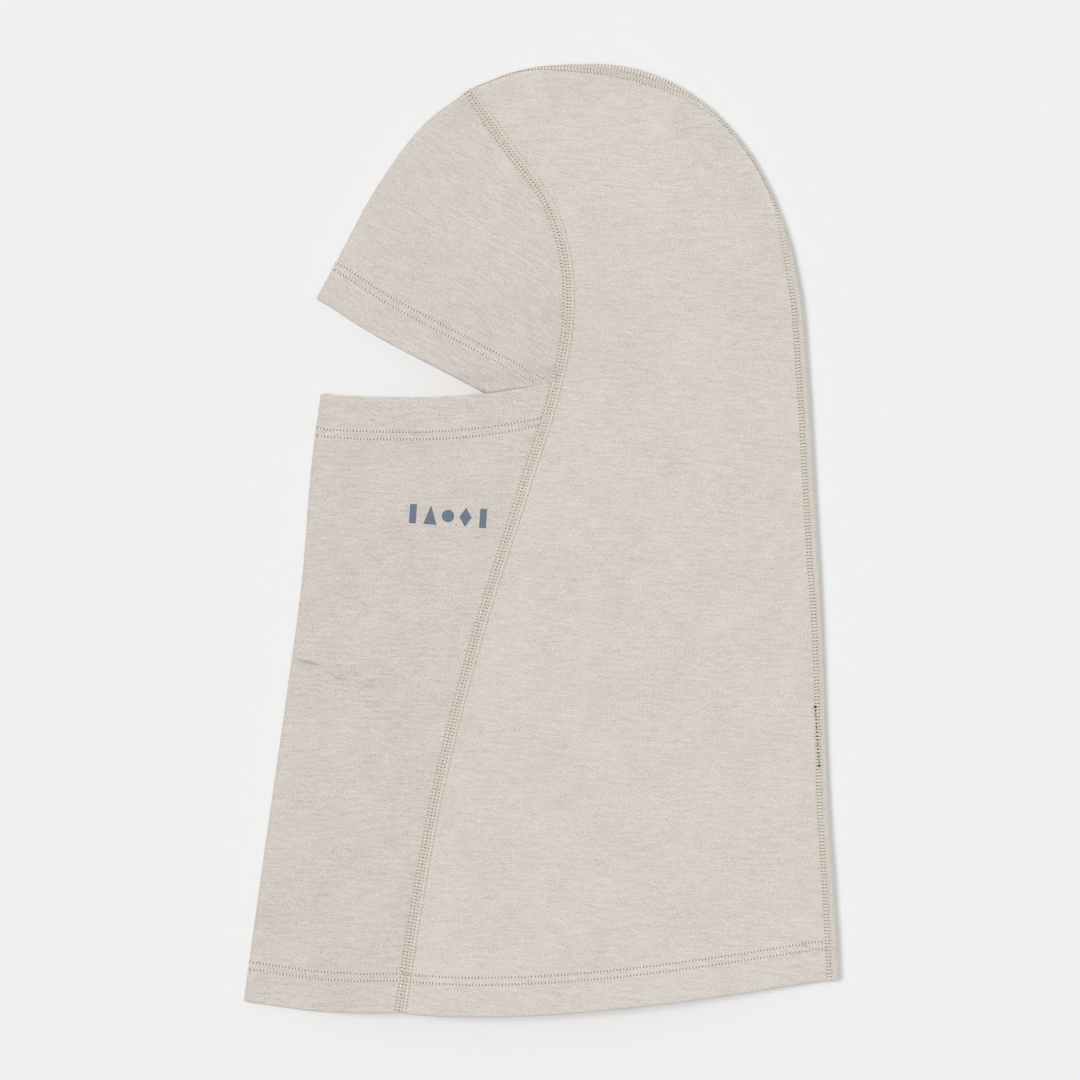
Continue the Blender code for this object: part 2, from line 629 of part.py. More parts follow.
# Label inside the nape and the dark thread that tacks it to the back seam
label_low = THICK + GAP
corners = []
for level in (label_low, label_low + LABEL_THICK):
    for span, depth in ((0, 0), (1, 0), (1, 1), (0, 1)):
        inward = inward_at(BACK, -1.0, LABEL_SPAN[0])
        place = point_at(BACK, LABEL_SPAN[span]) + inward * (LABEL_INSET + LABEL_DEPTH * depth)
        corners.append((place[0], place[1], level))
add_object("neck_label", "label", corners,
           [(0, 1, 2, 3), (7, 6, 5, 4), (0, 4, 5, 1), (1, 5, 6, 2), (2, 6, 7, 3), (3, 7, 4, 0)])
tack_arc = math.pi / 2 * FOLD_RADIUS + TACK_INSET - FOLD_RADIUS
tack_lanes = [back_lane(tack_arc + edge, *LABEL_SPAN) for edge in (-NEEDLE_HALF, NEEDLE_HALF)]
ribbon("label_tack_thread", "tack", tack_lanes, needle_base + THREAD + GAP, THREAD)

# Front print: a plain row of geometric shapes
half_high = PRINT_HEIGHT / 2
half_bar = PRINT_BAR / 2
bar = ((-half_bar, -half_high), (half_bar, -half_high), (half_bar, half_high), (-half_bar, half_high))
triangle = ((-PRINT_FOOT, -half_high), (PRINT_FOOT, -half_high), (0.0, half_high))
diamond = ((0.0, -half_high), (PRINT_HALF, 0.0), (0.0, half_high), (-PRINT_HALF, 0.0))
turns = [2 * math.pi * number / ROUND_SIDES for number in range(ROUND_SIDES)]
disc = [(PRINT_HALF * math.cos(turn), PRINT_HALF * math.sin(turn)) for turn in turns]
print_shape("print_bar_left", bar, -2 * PRINT_PITCH)
print_shape("print_triangle", triangle, -PRINT_PITCH)
print_shape("print_disc", disc, 0.0)
print_shape("print_diamond", diamond, PRINT_PITCH)
print_shape("print_bar_right", bar, 2 * PRINT_PITCH)
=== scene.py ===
"""Looks of the flat-laid jersey balaclava: cloth, sewing threads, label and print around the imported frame.

Lengths are millimetres until a mesh is made. A place on the garment is a point in plan and a layer (+1 the
upper one, -1 the lower); Drape turns it into a place in space, shifted out from the middle of the cloth.
"""
import math

import bpy
import numpy as np
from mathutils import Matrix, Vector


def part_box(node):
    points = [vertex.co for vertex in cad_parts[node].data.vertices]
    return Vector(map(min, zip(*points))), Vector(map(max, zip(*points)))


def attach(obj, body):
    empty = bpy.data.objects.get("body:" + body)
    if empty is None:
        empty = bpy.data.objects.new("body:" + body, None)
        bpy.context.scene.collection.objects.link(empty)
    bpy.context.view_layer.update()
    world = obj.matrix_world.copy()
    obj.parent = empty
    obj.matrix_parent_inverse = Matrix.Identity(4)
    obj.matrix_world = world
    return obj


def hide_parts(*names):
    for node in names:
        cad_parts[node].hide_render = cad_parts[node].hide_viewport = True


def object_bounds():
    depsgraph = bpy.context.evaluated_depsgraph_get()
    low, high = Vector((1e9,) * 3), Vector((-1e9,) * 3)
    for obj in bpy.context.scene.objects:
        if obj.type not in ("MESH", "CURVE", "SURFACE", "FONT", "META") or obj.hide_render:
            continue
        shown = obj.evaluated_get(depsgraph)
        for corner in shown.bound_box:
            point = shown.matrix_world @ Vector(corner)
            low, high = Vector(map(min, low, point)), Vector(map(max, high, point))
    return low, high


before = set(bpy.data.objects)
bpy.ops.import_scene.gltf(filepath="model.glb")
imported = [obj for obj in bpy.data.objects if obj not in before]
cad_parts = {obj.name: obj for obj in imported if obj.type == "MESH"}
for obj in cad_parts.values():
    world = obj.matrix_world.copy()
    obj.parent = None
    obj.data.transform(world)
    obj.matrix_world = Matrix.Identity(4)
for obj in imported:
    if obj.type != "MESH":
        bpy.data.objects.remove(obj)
cad_low, cad_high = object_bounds()

MM = 0.001
GRID = 1.6                       # spacing of the cloth meshes
GRID_FINE = 0.6                  # the same across a seam or a stitched line
FINE_WIDTH = 5.4                 # width of the fine mesh beside the front seam

THICK = 0.8
FOLD_RADIUS = 1.8                # middle of the cloth at a folded edge
QUARTER = math.pi / 2 * FOLD_RADIUS
FOLD_CENTRE = THICK / 2 + FOLD_RADIUS
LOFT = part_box("left_side_panel")[1].z / MM - THICK - 2 * FOLD_RADIUS
LOFT_REACH = 52.0
OPENING_SAG = 0.55               # share of the loft that is lost at the face opening
OPENING_SPAN = (0.0, 55.0)       # spans hold how far a thing acts in full, then over how much more it fades
# Seams and hems hold the cloth off the table, and off the layer below near a folded edge
SEAM_LIFT = 0.95
SEAM_LIFT_SPAN = (3.4, 10.6)
HEM_LIFT = 0.5
HEM_LIFT_SPAN = (24.0, 12.0)
EDGE_LIFT = 0.80
EDGE_LIFT_SPAN = (7.0, 8.0)
LIFT_FADE = 20.0                 # from a folded edge, where the upper layer's lift dies out
HEM_DEPTH = 20.4                 # turned edge, up from the hem fold
HEM_GAP = 0.15
HEM_TURN = (THICK + HEM_GAP) / 2
CORNER_SINK = 2.3                # drop of the brow panel under the lower front panel
CORNER_SINK_FULL = 1.0
CORNER_SINK_REACH = (9.0, 4.0)   # at the front seam, and how much more away from it
CORNER_SINK_FADE = 20.0          # distance from the seam where that is reached
HEM_BULGE_SPAN = (25.0, 95.0)    # from a hem, where the panels' rows run curved

ROW_PITCH = 1.7                  # between the four flatlock needle rows
BAND_HALF = 2.75
BAND_INSET, BAND_EDGE = 0.2, 0.9  # the ridge starts to drop inside the band's edge, over this width
RIDGE = 0.32                     # extra height of the cloth under the flatlock band
BAND_THICK = 0.30                # threads of the flatlock band above the cloth
STITCH = 1.65
HEM_ROWS = (16.5, 20.1)
BROW_ROWS = (17.2, 20.9)
NOSE_ROWS = (17.4, 21.2)
NOSE_SLANT = 1.05                # length of the front seam for each millimetre up from the nose hem's edge

HALF_CHORD = 2.0                 # a line's direction is taken over this much before and after a place
BATCH = 3000                     # points measured at a time
SAME_PLACE = 0.05                # closer than this, places count as one
COARSE_STEP = 4.0
CLOUD_CELLS = 64
CLOUD_ORIGIN = 20.0

BACK_POINTS = ((-35.6, 225.2), (-8.0, 235.2), (18.5, 237.8), (46.0, 235.8), (76.6, 221.8), (102.0, 196.3),
               (120.3, 160.6), (129.3, 125.3), (133.3, 80.0), (136.8, 20.0), (139.6, -30.0), (143.7, -135.0),
               (147.0, -185.0), (148.7, -221.0))
BROW_FOLD_POINTS = ((-35.6, 225.2), (-56.0, 210.0), (-80.0, 179.0), (-101.0, 141.0), (-112.0, 120.5))
FRONT_FOLD_POINTS = ((-109.5, 73.5), (-114.0, 40.0), (-119.0, -20.0), (-127.0, -80.0), (-137.0, -150.0),
                     (-148.2, -231.5))
SEAM_POINTS = ((-35.6, 225.2), (-16.7, 197.7), (5.1, 166.7), (13.6, 135.0), (13.8, 108.0), (7.5, 75.6),
               (-7.5, 27.5), (-30.8, -46.0), (-50.4, -122.0), (-62.4, -187.0), (-70.0, -236.6))
NOSE_EDGE_POINTS = ((7.9, 78.5), (-12.9, 75.2), (-29.8, 73.0), (-48.6, 72.0), (-75.4, 71.8), (-109.5, 73.5))
BROW_EDGE_POINTS = ((2.4, 56.0), (-29.0, 73.2), (-66.5, 93.3), (-93.2, 108.0), (-112.0, 120.5))
HEM_EDGE_POINTS = ((-148.2, -231.5), (-126.0, -235.0), (-70.0, -236.6), (-34.0, -238.5), (-14.5, -238.5),
                   (17.5, -236.7), (73.5, -230.0), (148.7, -221.0))
NOSE_AT = 160.0
BROW_AT = 183.6
APEX_AT = 3.6
BACK_PAIRS = ((0.0, 0.0), (3.6, 0.1), (71.0, 84.0), (112.0, 152.0), (130.0, 192.0), (163.0, 262.0))
BROW_PAIRS = ((0.0, 0.0), (3.6, 0.1), (60.0, 42.0), (110.0, 78.0), (150.0, 101.0))
# Where the back seam lies round the folded edge: length down from the crown, arc in from the edge
BACK_SEAM_ARCS = ((0.0, -2.6), (22.0, -2.4), (42.0, -0.2), (62.0, 2.0), (82.0, 3.4), (96.0, 3.1),
                  (110.0, 1.6), (128.0, -0.4), (146.0, -1.5), (176.0, -1.9), (190.0, -0.8), (203.0, 1.1),
                  (220.0, 2.4), (250.0, 2.9), (370.0, 2.8), (400.0, 2.0), (450.0, 2.1), (500.0, 3.0),
                  (600.0, 3.1))


def running_length(places):
    """Length along a chain of places, from its start to each of them."""
    return np.concatenate([[0.0], np.cumsum(np.linalg.norm(np.diff(places, axis=0), axis=1))])


def plan_at(lengths, marks, places):
    """Places in plan at lengths along a chain that has a place at each mark."""
    return np.stack([np.interp(lengths, marks, places[:, i]) for i in range(2)], axis=-1)


def left_of(ways):
    return np.stack([-ways[..., 1], ways[..., 0]], axis=-1)


class Line:
    """Smooth open line through a few points, measured by its length."""

    def __init__(self, points, turn=0.0, step=3.0):
        knots = np.array(points, float)
        marks = running_length(knots)
        slopes = np.gradient(knots, marks, axis=0)
        where = np.linspace(0.0, marks[-1], int(marks[-1] / step) + 2)
        index = np.clip(np.searchsorted(marks, where, side="right") - 1, 0, len(marks) - 2)
        width = (marks[index + 1] - marks[index])[:, None]
        u = (where - marks[index])[:, None] / width
        line = (2 * u**3 - 3 * u**2 + 1) * knots[index]
        line += (u**3 - 2 * u**2 + u) * width * slopes[index]
        line += (3 * u**2 - 2 * u**3) * knots[index + 1]
        line += (u**3 - u**2) * width * slopes[index + 1]
        self.points = line
        self.marks = running_length(line)
        self.length = self.marks[-1]
        self.turn = turn

    def at(self, length):
        """Place at a length; past either end the line goes straight on."""
        length = np.asarray(length, float)
        inside = np.clip(length, 0.0, self.length)
        return plan_at(inside, self.marks, self.points) + self.along(length) * (length - inside)[..., None]

    def along(self, length):
        """Unit direction of the line at a length."""
        middle = np.clip(length, HALF_CHORD, self.length - HALF_CHORD)
        ahead = plan_at(middle + HALF_CHORD, self.marks, self.points)
        behind = plan_at(middle - HALF_CHORD, self.marks, self.points)
        step = ahead - behind
        return step / np.linalg.norm(step, axis=-1, keepdims=True)

    def inward(self, length):
        """The way straight into the cloth from a folded edge."""
        return self.turn * left_of(self.along(length))

    def nearest(self, points):
        """For each point: distance to the line, and the unit way from the line's foot to the point."""
        start = self.points[:-1]
        span = self.points[1:] - start
        square = np.sum(span * span, axis=1)
        gaps = np.empty(len(points))
        ways = np.empty((len(points), 2))
        for low in range(0, len(points), BATCH):
            some = points[low:low + BATCH]
            offset = some[:, None, :] - start[None, :, :]
            share = np.clip(np.sum(offset * span, axis=2) / square, 0.0, 1.0)
            away = offset - share[..., None] * span
            squares = np.sum(away * away, axis=2)
            best = np.argmin(squares, axis=1)
            pick = np.arange(len(some))
            gap = np.sqrt(squares[pick, best])
            tangent = span[best] / np.sqrt(square[best])[:, None]
            normal = self.turn * left_of(tangent)
            way = away[pick, best] / np.maximum(gap, 1e-9)[:, None]
            gaps[low:low + BATCH] = gap
            ways[low:low + BATCH] = np.where((gap > SAME_PLACE)[:, None], way, normal)
        return gaps, ways


BACK = Line(BACK_POINTS, -1.0)
BROW_FOLD = Line(BROW_FOLD_POINTS, 1.0)
FRONT_FOLD = Line(FRONT_FOLD_POINTS, 1.0)
SEAM = Line(SEAM_POINTS)
SEAM_COARSE = Line(SEAM_POINTS, step=COARSE_STEP)
NOSE_EDGE = Line(NOSE_EDGE_POINTS, step=COARSE_STEP)
BROW_EDGE = Line(BROW_EDGE_POINTS, step=COARSE_STEP)
HEM_EDGE = Line(HEM_EDGE_POINTS, step=COARSE_STEP)
ALL_FOLDS = (BACK, BROW_FOLD, FRONT_FOLD)


def ease(value):
    """Smooth step from 0 to 1."""
    share = np.clip(value, 0.0, 1.0)
    return share * share * (3.0 - 2.0 * share)


def near(distance, span):
    """1 within the first length of a span, then down to 0 over the second."""
    return 1.0 - ease((distance - span[0]) / span[1])


def cloud(points, size, seed):
    """Smooth random hills of about the given size, from -1 to 1."""
    table = np.random.default_rng(seed).uniform(-1.0, 1.0, (CLOUD_CELLS, CLOUD_CELLS))
    place = points / size + CLOUD_ORIGIN
    low = np.floor(place).astype(int)
    part = ease(place - low)
    x, y = low[:, 0] % CLOUD_CELLS, low[:, 1] % CLOUD_CELLS
    x1, y1 = (x + 1) % CLOUD_CELLS, (y + 1) % CLOUD_CELLS
    top = table[x, y] * (1 - part[:, 0]) + table[x1, y] * part[:, 0]
    bottom = table[x, y1] * (1 - part[:, 0]) + table[x1, y1] * part[:, 0]
    return top * (1 - part[:, 1]) + bottom * part[:, 1]


CREASE_BOW = 0.004               # how much a crease curves
# Soft unevenness of the upper layer: height, squeeze across, size of its hills, seed
UNEVENNESS = ((0.55, 1.0, 70.0, 3), (0.22, 0.6, 26.0, 5), (0.07, 0.5, 9.0, 8))
UNEVEN_FROM, CREASED_FROM = 14.0, 4.0     # gaps from a folded edge where they reach full height
CREASED_ROWS = (292.0, 338.0)    # rows of the lower front panel that cross the folds at its front edge
# Creases of the upper layer: centre, direction in degrees, half length, half width, height
CREASES = (
    ((-113.0, -61.0), -9.0, 16.0, 2.2, 0.45),
    ((-112.0, -65.0), -10.0, 13.0, 2.0, -0.40),
    ((-97.0, -70.0), -16.0, 10.0, 1.8, -0.25),
    ((-80.0, -79.0), -8.0, 9.0, 1.8, 0.25),
    ((-66.0, -81.0), -6.0, 14.0, 2.2, 0.20),
    ((-86.0, -58.0), -6.0, 20.0, 3.0, 0.20),
    ((-33.2, 214.5), -56.0, 9.0, 1.1, -0.85),
    ((62.0, 208.0), -28.0, 15.0, 3.0, -0.40),
    ((80.0, 188.0), -52.0, 18.0, 3.2, -0.40),
    ((93.0, 166.0), -66.0, 16.0, 3.0, -0.30),
    ((118.0, -196.0), -12.0, 13.0, 2.2, 0.35),
    ((122.0, -201.5), -16.0, 13.0, 1.8, -0.40),
    ((-76.0, -228.0), 80.0, 14.0, 1.6, -0.60),
    ((60.0, -120.0), -8.0, 70.0, 9.0, 0.25),
    ((20.0, 10.0), 78.0, 60.0, 10.0, 0.20),
    ((70.0, 120.0), 60.0, 45.0, 9.0, 0.22),
)


def creases(points):
    """Sum of the crease heights at each point."""
    total = np.zeros(len(points))
    for centre, degrees, reach, width, rise in CREASES:
        angle = math.radians(degrees)
        offset = points - np.array(centre)
        along = offset[:, 0] * math.cos(angle) + offset[:, 1] * math.sin(angle)
        across = offset[:, 1] * math.cos(angle) - offset[:, 0] * math.sin(angle)
        bow = across - CREASE_BOW * along * along
        total += rise * np.exp(-((along / reach) ** 2) - (bow / width) ** 2)
    return total


def ripple(points, gap):
    """Height that creases and soft unevenness add to the upper layer, at a gap in from the folded edge."""
    soft = sum(height * cloud(points * np.array([squeeze, 1.0]), size, seed)
               for height, squeeze, size, seed in UNEVENNESS)
    return soft * ease(gap / UNEVEN_FROM) + creases(points) * ease(gap / CREASED_FROM)


def turned_depth(arc):
    """Depth in plan of a place an arc length round a folded edge."""
    arc = np.abs(arc)
    on_turn = FOLD_RADIUS * (1.0 - np.cos(np.minimum(arc, QUARTER) / FOLD_RADIUS))
    return on_turn + np.maximum(arc - QUARTER, 0.0)


def seam_gap(points):
    """Distance of each point from the front seam."""
    return SEAM_COARSE.nearest(points)[0]


def sink_of(points):
    """How far the brow panel drops to pass under the hem of the lower panel."""
    order = np.argsort(NOSE_EDGE.points[:, 0])
    edge_y = np.interp(points[:, 0], NOSE_EDGE.points[order, 0], NOSE_EDGE.points[order, 1])
    reach = CORNER_SINK_REACH[0] + CORNER_SINK_REACH[1] * ease(seam_gap(points) / CORNER_SINK_FADE)
    return CORNER_SINK * near(points[:, 1] - edge_y, (CORNER_SINK_FULL, reach))


class Drape:
    """The cloth's middle and outward normal at many points of one layer grid."""

    def __init__(self, points, layers, folds=ALL_FOLDS, sinks=False):
        shape = points.shape[:-1]
        flat = points.reshape(-1, 2)
        layer = np.broadcast_to(layers, shape).reshape(-1).astype(float)
        gap = np.full(len(flat), np.inf)
        way = np.zeros((len(flat), 2))
        for line in folds:
            distance, toward = line.nearest(flat)
            closer = distance < gap
            gap = np.where(closer, distance, gap)
            way = np.where(closer[:, None], toward, way)
        angle = np.arccos(np.clip(1.0 - gap / FOLD_RADIUS, -1.0, 1.0))
        on_turn = gap < FOLD_RADIUS
        inside = np.maximum(gap - FOLD_RADIUS, 0.0) / LOFT_REACH
        bell = np.exp(-inside * inside)
        upper = layer > 0
        from_opening = np.minimum(NOSE_EDGE.nearest(flat)[0], BROW_EDGE.nearest(flat)[0])
        loft = LOFT * (1.0 - OPENING_SAG * near(from_opening, OPENING_SPAN))
        slope = np.where(upper, loft * 2.0 * inside * bell / LOFT_REACH, 0.0)
        level = FOLD_CENTRE + layer * FOLD_RADIUS + np.where(upper, loft * (1.0 - bell), 0.0)
        tilt = np.hypot(1.0, slope)
        height = np.where(on_turn, FOLD_CENTRE + layer * FOLD_RADIUS * np.sin(angle), level)
        flat_part = np.where(on_turn, np.cos(angle), slope / tilt)
        rise = np.where(on_turn, layer * np.sin(angle), layer / tilt)
        from_seam = seam_gap(flat)
        from_hem = np.minimum(HEM_EDGE.nearest(flat)[0], from_opening)
        lift = SEAM_LIFT * near(from_seam, SEAM_LIFT_SPAN) + HEM_LIFT * near(from_hem, HEM_LIFT_SPAN)
        lift += EDGE_LIFT * near(gap, EDGE_LIFT_SPAN)
        lift = np.where(upper, lift * np.exp(-((gap / LIFT_FADE) ** 2)), lift)
        height += lift + np.where(upper, ripple(flat, gap), 0.0)
        self.shape = shape
        self.normal = np.column_stack([-way * flat_part[:, None], rise])
        self.middle = np.column_stack([flat, height])
        if sinks:
            self.middle = self.middle - self.normal * sink_of(flat)[:, None]
        self.band = near(from_seam, (BAND_HALF - BAND_INSET, BAND_EDGE))

    def at(self, shift, ridge=0.0):
        """Places shifted out from the cloth's middle, and by ridge more on the front seam."""
        shift = np.broadcast_to(shift, self.shape).reshape(-1) + ridge * self.band
        return (self.middle + self.normal * shift[:, None]).reshape(self.shape + (3,))

    def rows(self, picked, shift, ridge):
        """The picked rows of the grid, each with its own shift."""
        middle, normal = (part.reshape(self.shape + (3,))[picked] for part in (self.middle, self.normal))
        out = shift[:, None] + ridge * self.band.reshape(self.shape)[picked]
        return middle + normal * out[:, :, None]


HEM_MARKS = (24.0, 0.0, -4.0)    # lengths from a hem's edge where rows meet both sides of a panel alike


def hem_pairs(edge, fold_edge, way=-1.0, slant=1.0):
    """Lengths on the front seam and a folded edge that meet at a hem; way is 1 where the hem comes first."""
    return [(edge + way * mark * slant, fold_edge + way * mark) for mark in HEM_MARKS]


def back_arc(lengths):
    """Arc of the back seam from the folded edge, at lengths down the back."""
    return np.interp(lengths, *zip(*BACK_SEAM_ARCS))


def layer_of(arcs):
    """1 on the upper layer and -1 on the lower, for arcs from a folded edge."""
    return np.where(arcs >= 0, 1.0, -1.0)


TURN_SHARE, TURN_LIMITS = 0.45, (0.02, 6.0)   # how much of a row's room the columns round the fold take up
BESIDE_MOST = 0.4                # and the fine columns beside the seam, at most


class Part:
    """Places of one panel's rows: straight in plan from the front seam, then round the folded edge.

    Pairs are lengths on the seam and on the folded edge that one row joins. Bulges say how rows curve near a
    hem: height, power of the share that shapes it, the hem's length on the seam, and the way up from it.
    """

    def __init__(self, fold, pairs, bulges):
        self.fold = fold
        self.joined = tuple(zip(*sorted(pairs)))
        self.bulges = bulges

    def partner(self, values):
        return np.interp(values, *self.joined)

    def bulge(self, values, share):
        return sum(height * np.sin(math.pi * share**power) * near(way * (values - edge), HEM_BULGE_SPAN)
                   for height, power, edge, way in self.bulges)

    def ends(self, values):
        """Each row's length on the folded edge, start, foot on that edge, the way in, and where it turns."""
        partners = self.partner(values)
        start = SEAM.at(values)
        foot = self.fold.at(partners)
        inward = self.fold.inward(partners)
        room = np.linalg.norm(start - foot, axis=1)
        depth = FOLD_RADIUS + np.clip(TURN_SHARE * (room - FOLD_RADIUS), *TURN_LIMITS)
        return partners, start, foot, inward, depth

    def straight(self, values, share):
        """Grid of places: a row for each value, a column for each share from the seam to the fold's foot."""
        _, start, foot, inward, depth = self.ends(values)
        end = foot + inward * depth[:, None]
        if share.ndim == 1:
            share = np.broadcast_to(share, (len(values), len(share)))
        place = start[:, None, :] + (end - start)[:, None, :] * share[:, :, None]
        place[:, :, 1] += self.bulge(values[:, None], share)
        return place

    def turned(self, values, first, last, count):
        """Grid round the folded edge between two arcs from it; arcs below zero are on the lower layer."""
        partners, _, foot, inward, depth = self.ends(values)
        reach = depth - FOLD_RADIUS + QUARTER
        first = first * reach if np.isscalar(first) else first
        last = last * reach if np.isscalar(last) else last
        arcs = first[:, None] + (last - first)[:, None] * np.linspace(0.0, 1.0, count)[None, :]
        place = foot[:, None, :] + inward[:, None, :] * turned_depth(arcs)[:, :, None]
        return place, arcs

    def columns(self, values):
        """Shares of each row: close together near the seam, even after it."""
        _, start, foot, inward, depth = self.ends(values)
        room = np.linalg.norm(foot + inward * depth[:, None] - start, axis=1)
        beside = np.minimum(FINE_WIDTH / room, BESIDE_MOST)[:, None]
        fine = int(FINE_WIDTH / GRID_FINE)
        coarse = int((room.max() - FINE_WIDTH) / GRID)
        low = beside * np.linspace(0.0, 1.0, fine + 1)[None, :]
        high = beside + (1.0 - beside) * np.linspace(0.0, 1.0, coarse + 1)[None, 1:]
        return np.concatenate([low, high], axis=1)


SIDE = Part(BACK, list(BACK_PAIRS) + hem_pairs(SEAM.length, BACK.length), ((-6.6, 0.75, SEAM.length, -1.0),))
BROW = Part(BROW_FOLD, list(BROW_PAIRS) + hem_pairs(BROW_AT, BROW_FOLD.length), ((-2.0, 2.5, BROW_AT, -1.0),))
FRONT = Part(FRONT_FOLD,
             hem_pairs(NOSE_AT, 0.0, 1.0, NOSE_SLANT) + hem_pairs(SEAM.length, FRONT_FOLD.length),
             ((-2.1, 1.0, SEAM.length, -1.0), (-4.3, 0.85, NOSE_AT, 1.0)))


ROUND_STEPS = 9                  # rows round a hem's fold, and steps round the label's
INSIDE_FROM, INSIDE_STEP = 2.4, 2.0       # first row of a hem's turned part, and the step between rows
FOLD_COLUMNS = 29                # columns round the front edge
BACK_COLUMNS = (14, 26)          # columns of the left and right side panels to the back seam


def hem_rows(edge, inward):
    """Rows of a turned hem, from its fold to its raw edge: outer value and shift, inner value and shift."""
    rows = []
    out = HEM_TURN + THICK / 2
    inn = HEM_TURN - THICK / 2
    for angle in np.linspace(0.0, math.pi, ROUND_STEPS)[1:]:
        rows.append((edge + inward * (out - out * math.sin(angle)), -HEM_TURN + out * math.cos(angle),
                     edge + inward * (out - inn * math.sin(angle)), -HEM_TURN + inn * math.cos(angle)))
    for depth in np.arange(INSIDE_FROM, HEM_DEPTH + INSIDE_STEP / 2, INSIDE_STEP):
        value = edge + inward * depth
        rows.append((value, -2 * HEM_TURN - THICK / 2, value, -2 * HEM_TURN + THICK / 2))
    return rows


def face_rows(first, last, fine):
    """Values of the rows on the cloth's face, closer together inside the ranges given as fine."""
    values = [first]
    while values[-1] < last:
        close = any(low <= values[-1] <= high for low, high in fine)
        values.append(values[-1] + (GRID_FINE if close else GRID))
    values[-1] = last
    return [(value, THICK / 2, value, -THICK / 2) for value in values]


HEM_FOLD = 0.9                   # where the face of the cloth starts to turn over a hem's fold
HEM_FINE = (14.0, 24.5)          # where a hem is stitched, from its fold


def crown_rows(edge):
    """Rows of a panel from the crown to its hem."""
    fine = [(edge - HEM_FINE[1], edge - HEM_FINE[0])]
    return face_rows(APEX_AT, edge - HEM_FOLD, fine) + hem_rows(edge, -1.0)


def front_rows(low, high):
    """Rows of the lower front panel, with a hem at both ends."""
    fine = [(low + HEM_FINE[0], low + HEM_FINE[1]), CREASED_ROWS, (high - HEM_FINE[1], high - HEM_FINE[0])]
    face = face_rows(low + HEM_FOLD, high - HEM_FOLD, fine)
    return hem_rows(low, 1.0)[::-1] + face + hem_rows(high, -1.0)


def side_grid(home, turned_columns):
    """Grid maker of a side panel: its own layer, then round the back edge as far as the back seam."""
    def grid(values):
        place = SIDE.straight(values, SIDE.columns(values))
        turned, arcs = SIDE.turned(values, home, back_arc(SIDE.partner(values)), turned_columns)
        upper = arcs >= 0 if home > 0 else arcs > 0
        layers = np.concatenate([np.full(place.shape[:2], home), np.where(upper, 1.0, -1.0)[:, 1:]], axis=1)
        return np.concatenate([place, turned[:, 1:]], axis=1), layers
    return grid


def folded_grid(part):
    """Grid maker of a panel that is folded over the front edge."""
    def grid(values):
        place = part.straight(values, part.columns(values))
        turned, arcs = part.turned(values, 1.0, -1.0, FOLD_COLUMNS)
        top = np.ones(place.shape[:2])
        layers = np.concatenate([top, layer_of(arcs)[:, 1:-1], -top], axis=1)
        return np.concatenate([place, turned[:, 1:-1], place[:, ::-1]], axis=1), layers
    return grid


def unfolded(part, values, points, layers, home):
    """Where each place lay in the flat cut of its panel; the other layer unrolls outwards past the fold."""
    partners, _, foot, inward, _ = part.ends(values)
    offset = points - foot[:, None, :]
    depth = np.sum(offset * inward[:, None, :], axis=2)
    side = offset - inward[:, None, :] * depth[:, :, None]
    turn = np.arccos(np.clip(1.0 - depth / FOLD_RADIUS, -1.0, 1.0)) * FOLD_RADIUS
    arc = np.where(depth < FOLD_RADIUS, turn, depth - FOLD_RADIUS + QUARTER)
    spread = np.where(layers == home, arc, -arc) - QUARTER + FOLD_RADIUS
    return foot[:, None, :] + inward[:, None, :] * spread[:, :, None] + side


def place_in_scene(name, data):
    placed = bpy.data.objects.new(name, data)
    bpy.context.scene.collection.objects.link(placed)
    return placed


def mesh_object(name, corners, quads, materials, attributes=(), smooth=True, extra=()):
    """Mesh object from numpy corners in millimetres and four-cornered faces; extra holds other faces."""
    mesh = bpy.data.meshes.new(name)
    quads = np.asarray(quads, np.int32)
    sizes = np.concatenate([np.full(len(quads), 4), [len(face) for face in extra]]).astype(np.int32)
    loops = np.concatenate([quads.reshape(-1)] + [np.asarray(face) for face in extra]).astype(np.int32)
    mesh.vertices.add(len(corners))
    mesh.vertices.foreach_set("co", (np.asarray(corners) * MM).astype(np.float32).reshape(-1))
    mesh.loops.add(len(loops))
    mesh.loops.foreach_set("vertex_index", loops)
    mesh.polygons.add(len(sizes))
    mesh.polygons.foreach_set("loop_start", (np.cumsum(sizes) - sizes).astype(np.int32))
    mesh.polygons.foreach_set("loop_total", sizes)
    mesh.polygons.foreach_set("use_smooth", np.full(len(sizes), smooth))
    mesh.update(calc_edges=True)
    mesh.validate()
    for label, kind, values in attributes:
        layer = mesh.attributes.new(label, kind, "POINT")
        field = "vector" if kind == "FLOAT_VECTOR" else "value"
        layer.data.foreach_set(field, values.astype(np.float32).reshape(-1))
    for material in materials:
        mesh.materials.append(material)
    return place_in_scene(name, mesh)


def shell_quads(rows, columns):
    """Faces of a closed shell: an outer grid, an inner grid after it, and the rim between them."""
    index = np.arange(rows * columns).reshape(rows, columns)
    below = index + rows * columns
    grid = np.stack([index[:-1, :-1], index[:-1, 1:], index[1:, 1:], index[1:, :-1]], axis=-1).reshape(-1, 4)
    back = np.stack([below[:-1, :-1], below[1:, :-1], below[1:, 1:], below[:-1, 1:]], axis=-1).reshape(-1, 4)
    ring = np.concatenate([index[0, :-1], index[:-1, -1], index[-1, :0:-1], index[:0:-1, 0]])
    following = np.roll(ring, -1)
    rim = np.stack([following, ring, ring + rows * columns, following + rows * columns], axis=-1)
    return np.concatenate([grid, back, rim])


def facing_out(corners, quads):
    """The faces turned so that the closed shell's volume is positive."""
    a, b, c, d = (corners[quads[:, i]] for i in range(4))
    volume = np.sum(a * np.cross(b, c)) + np.sum(a * np.cross(c, d))
    return quads if volume > 0 else quads[:, ::-1]


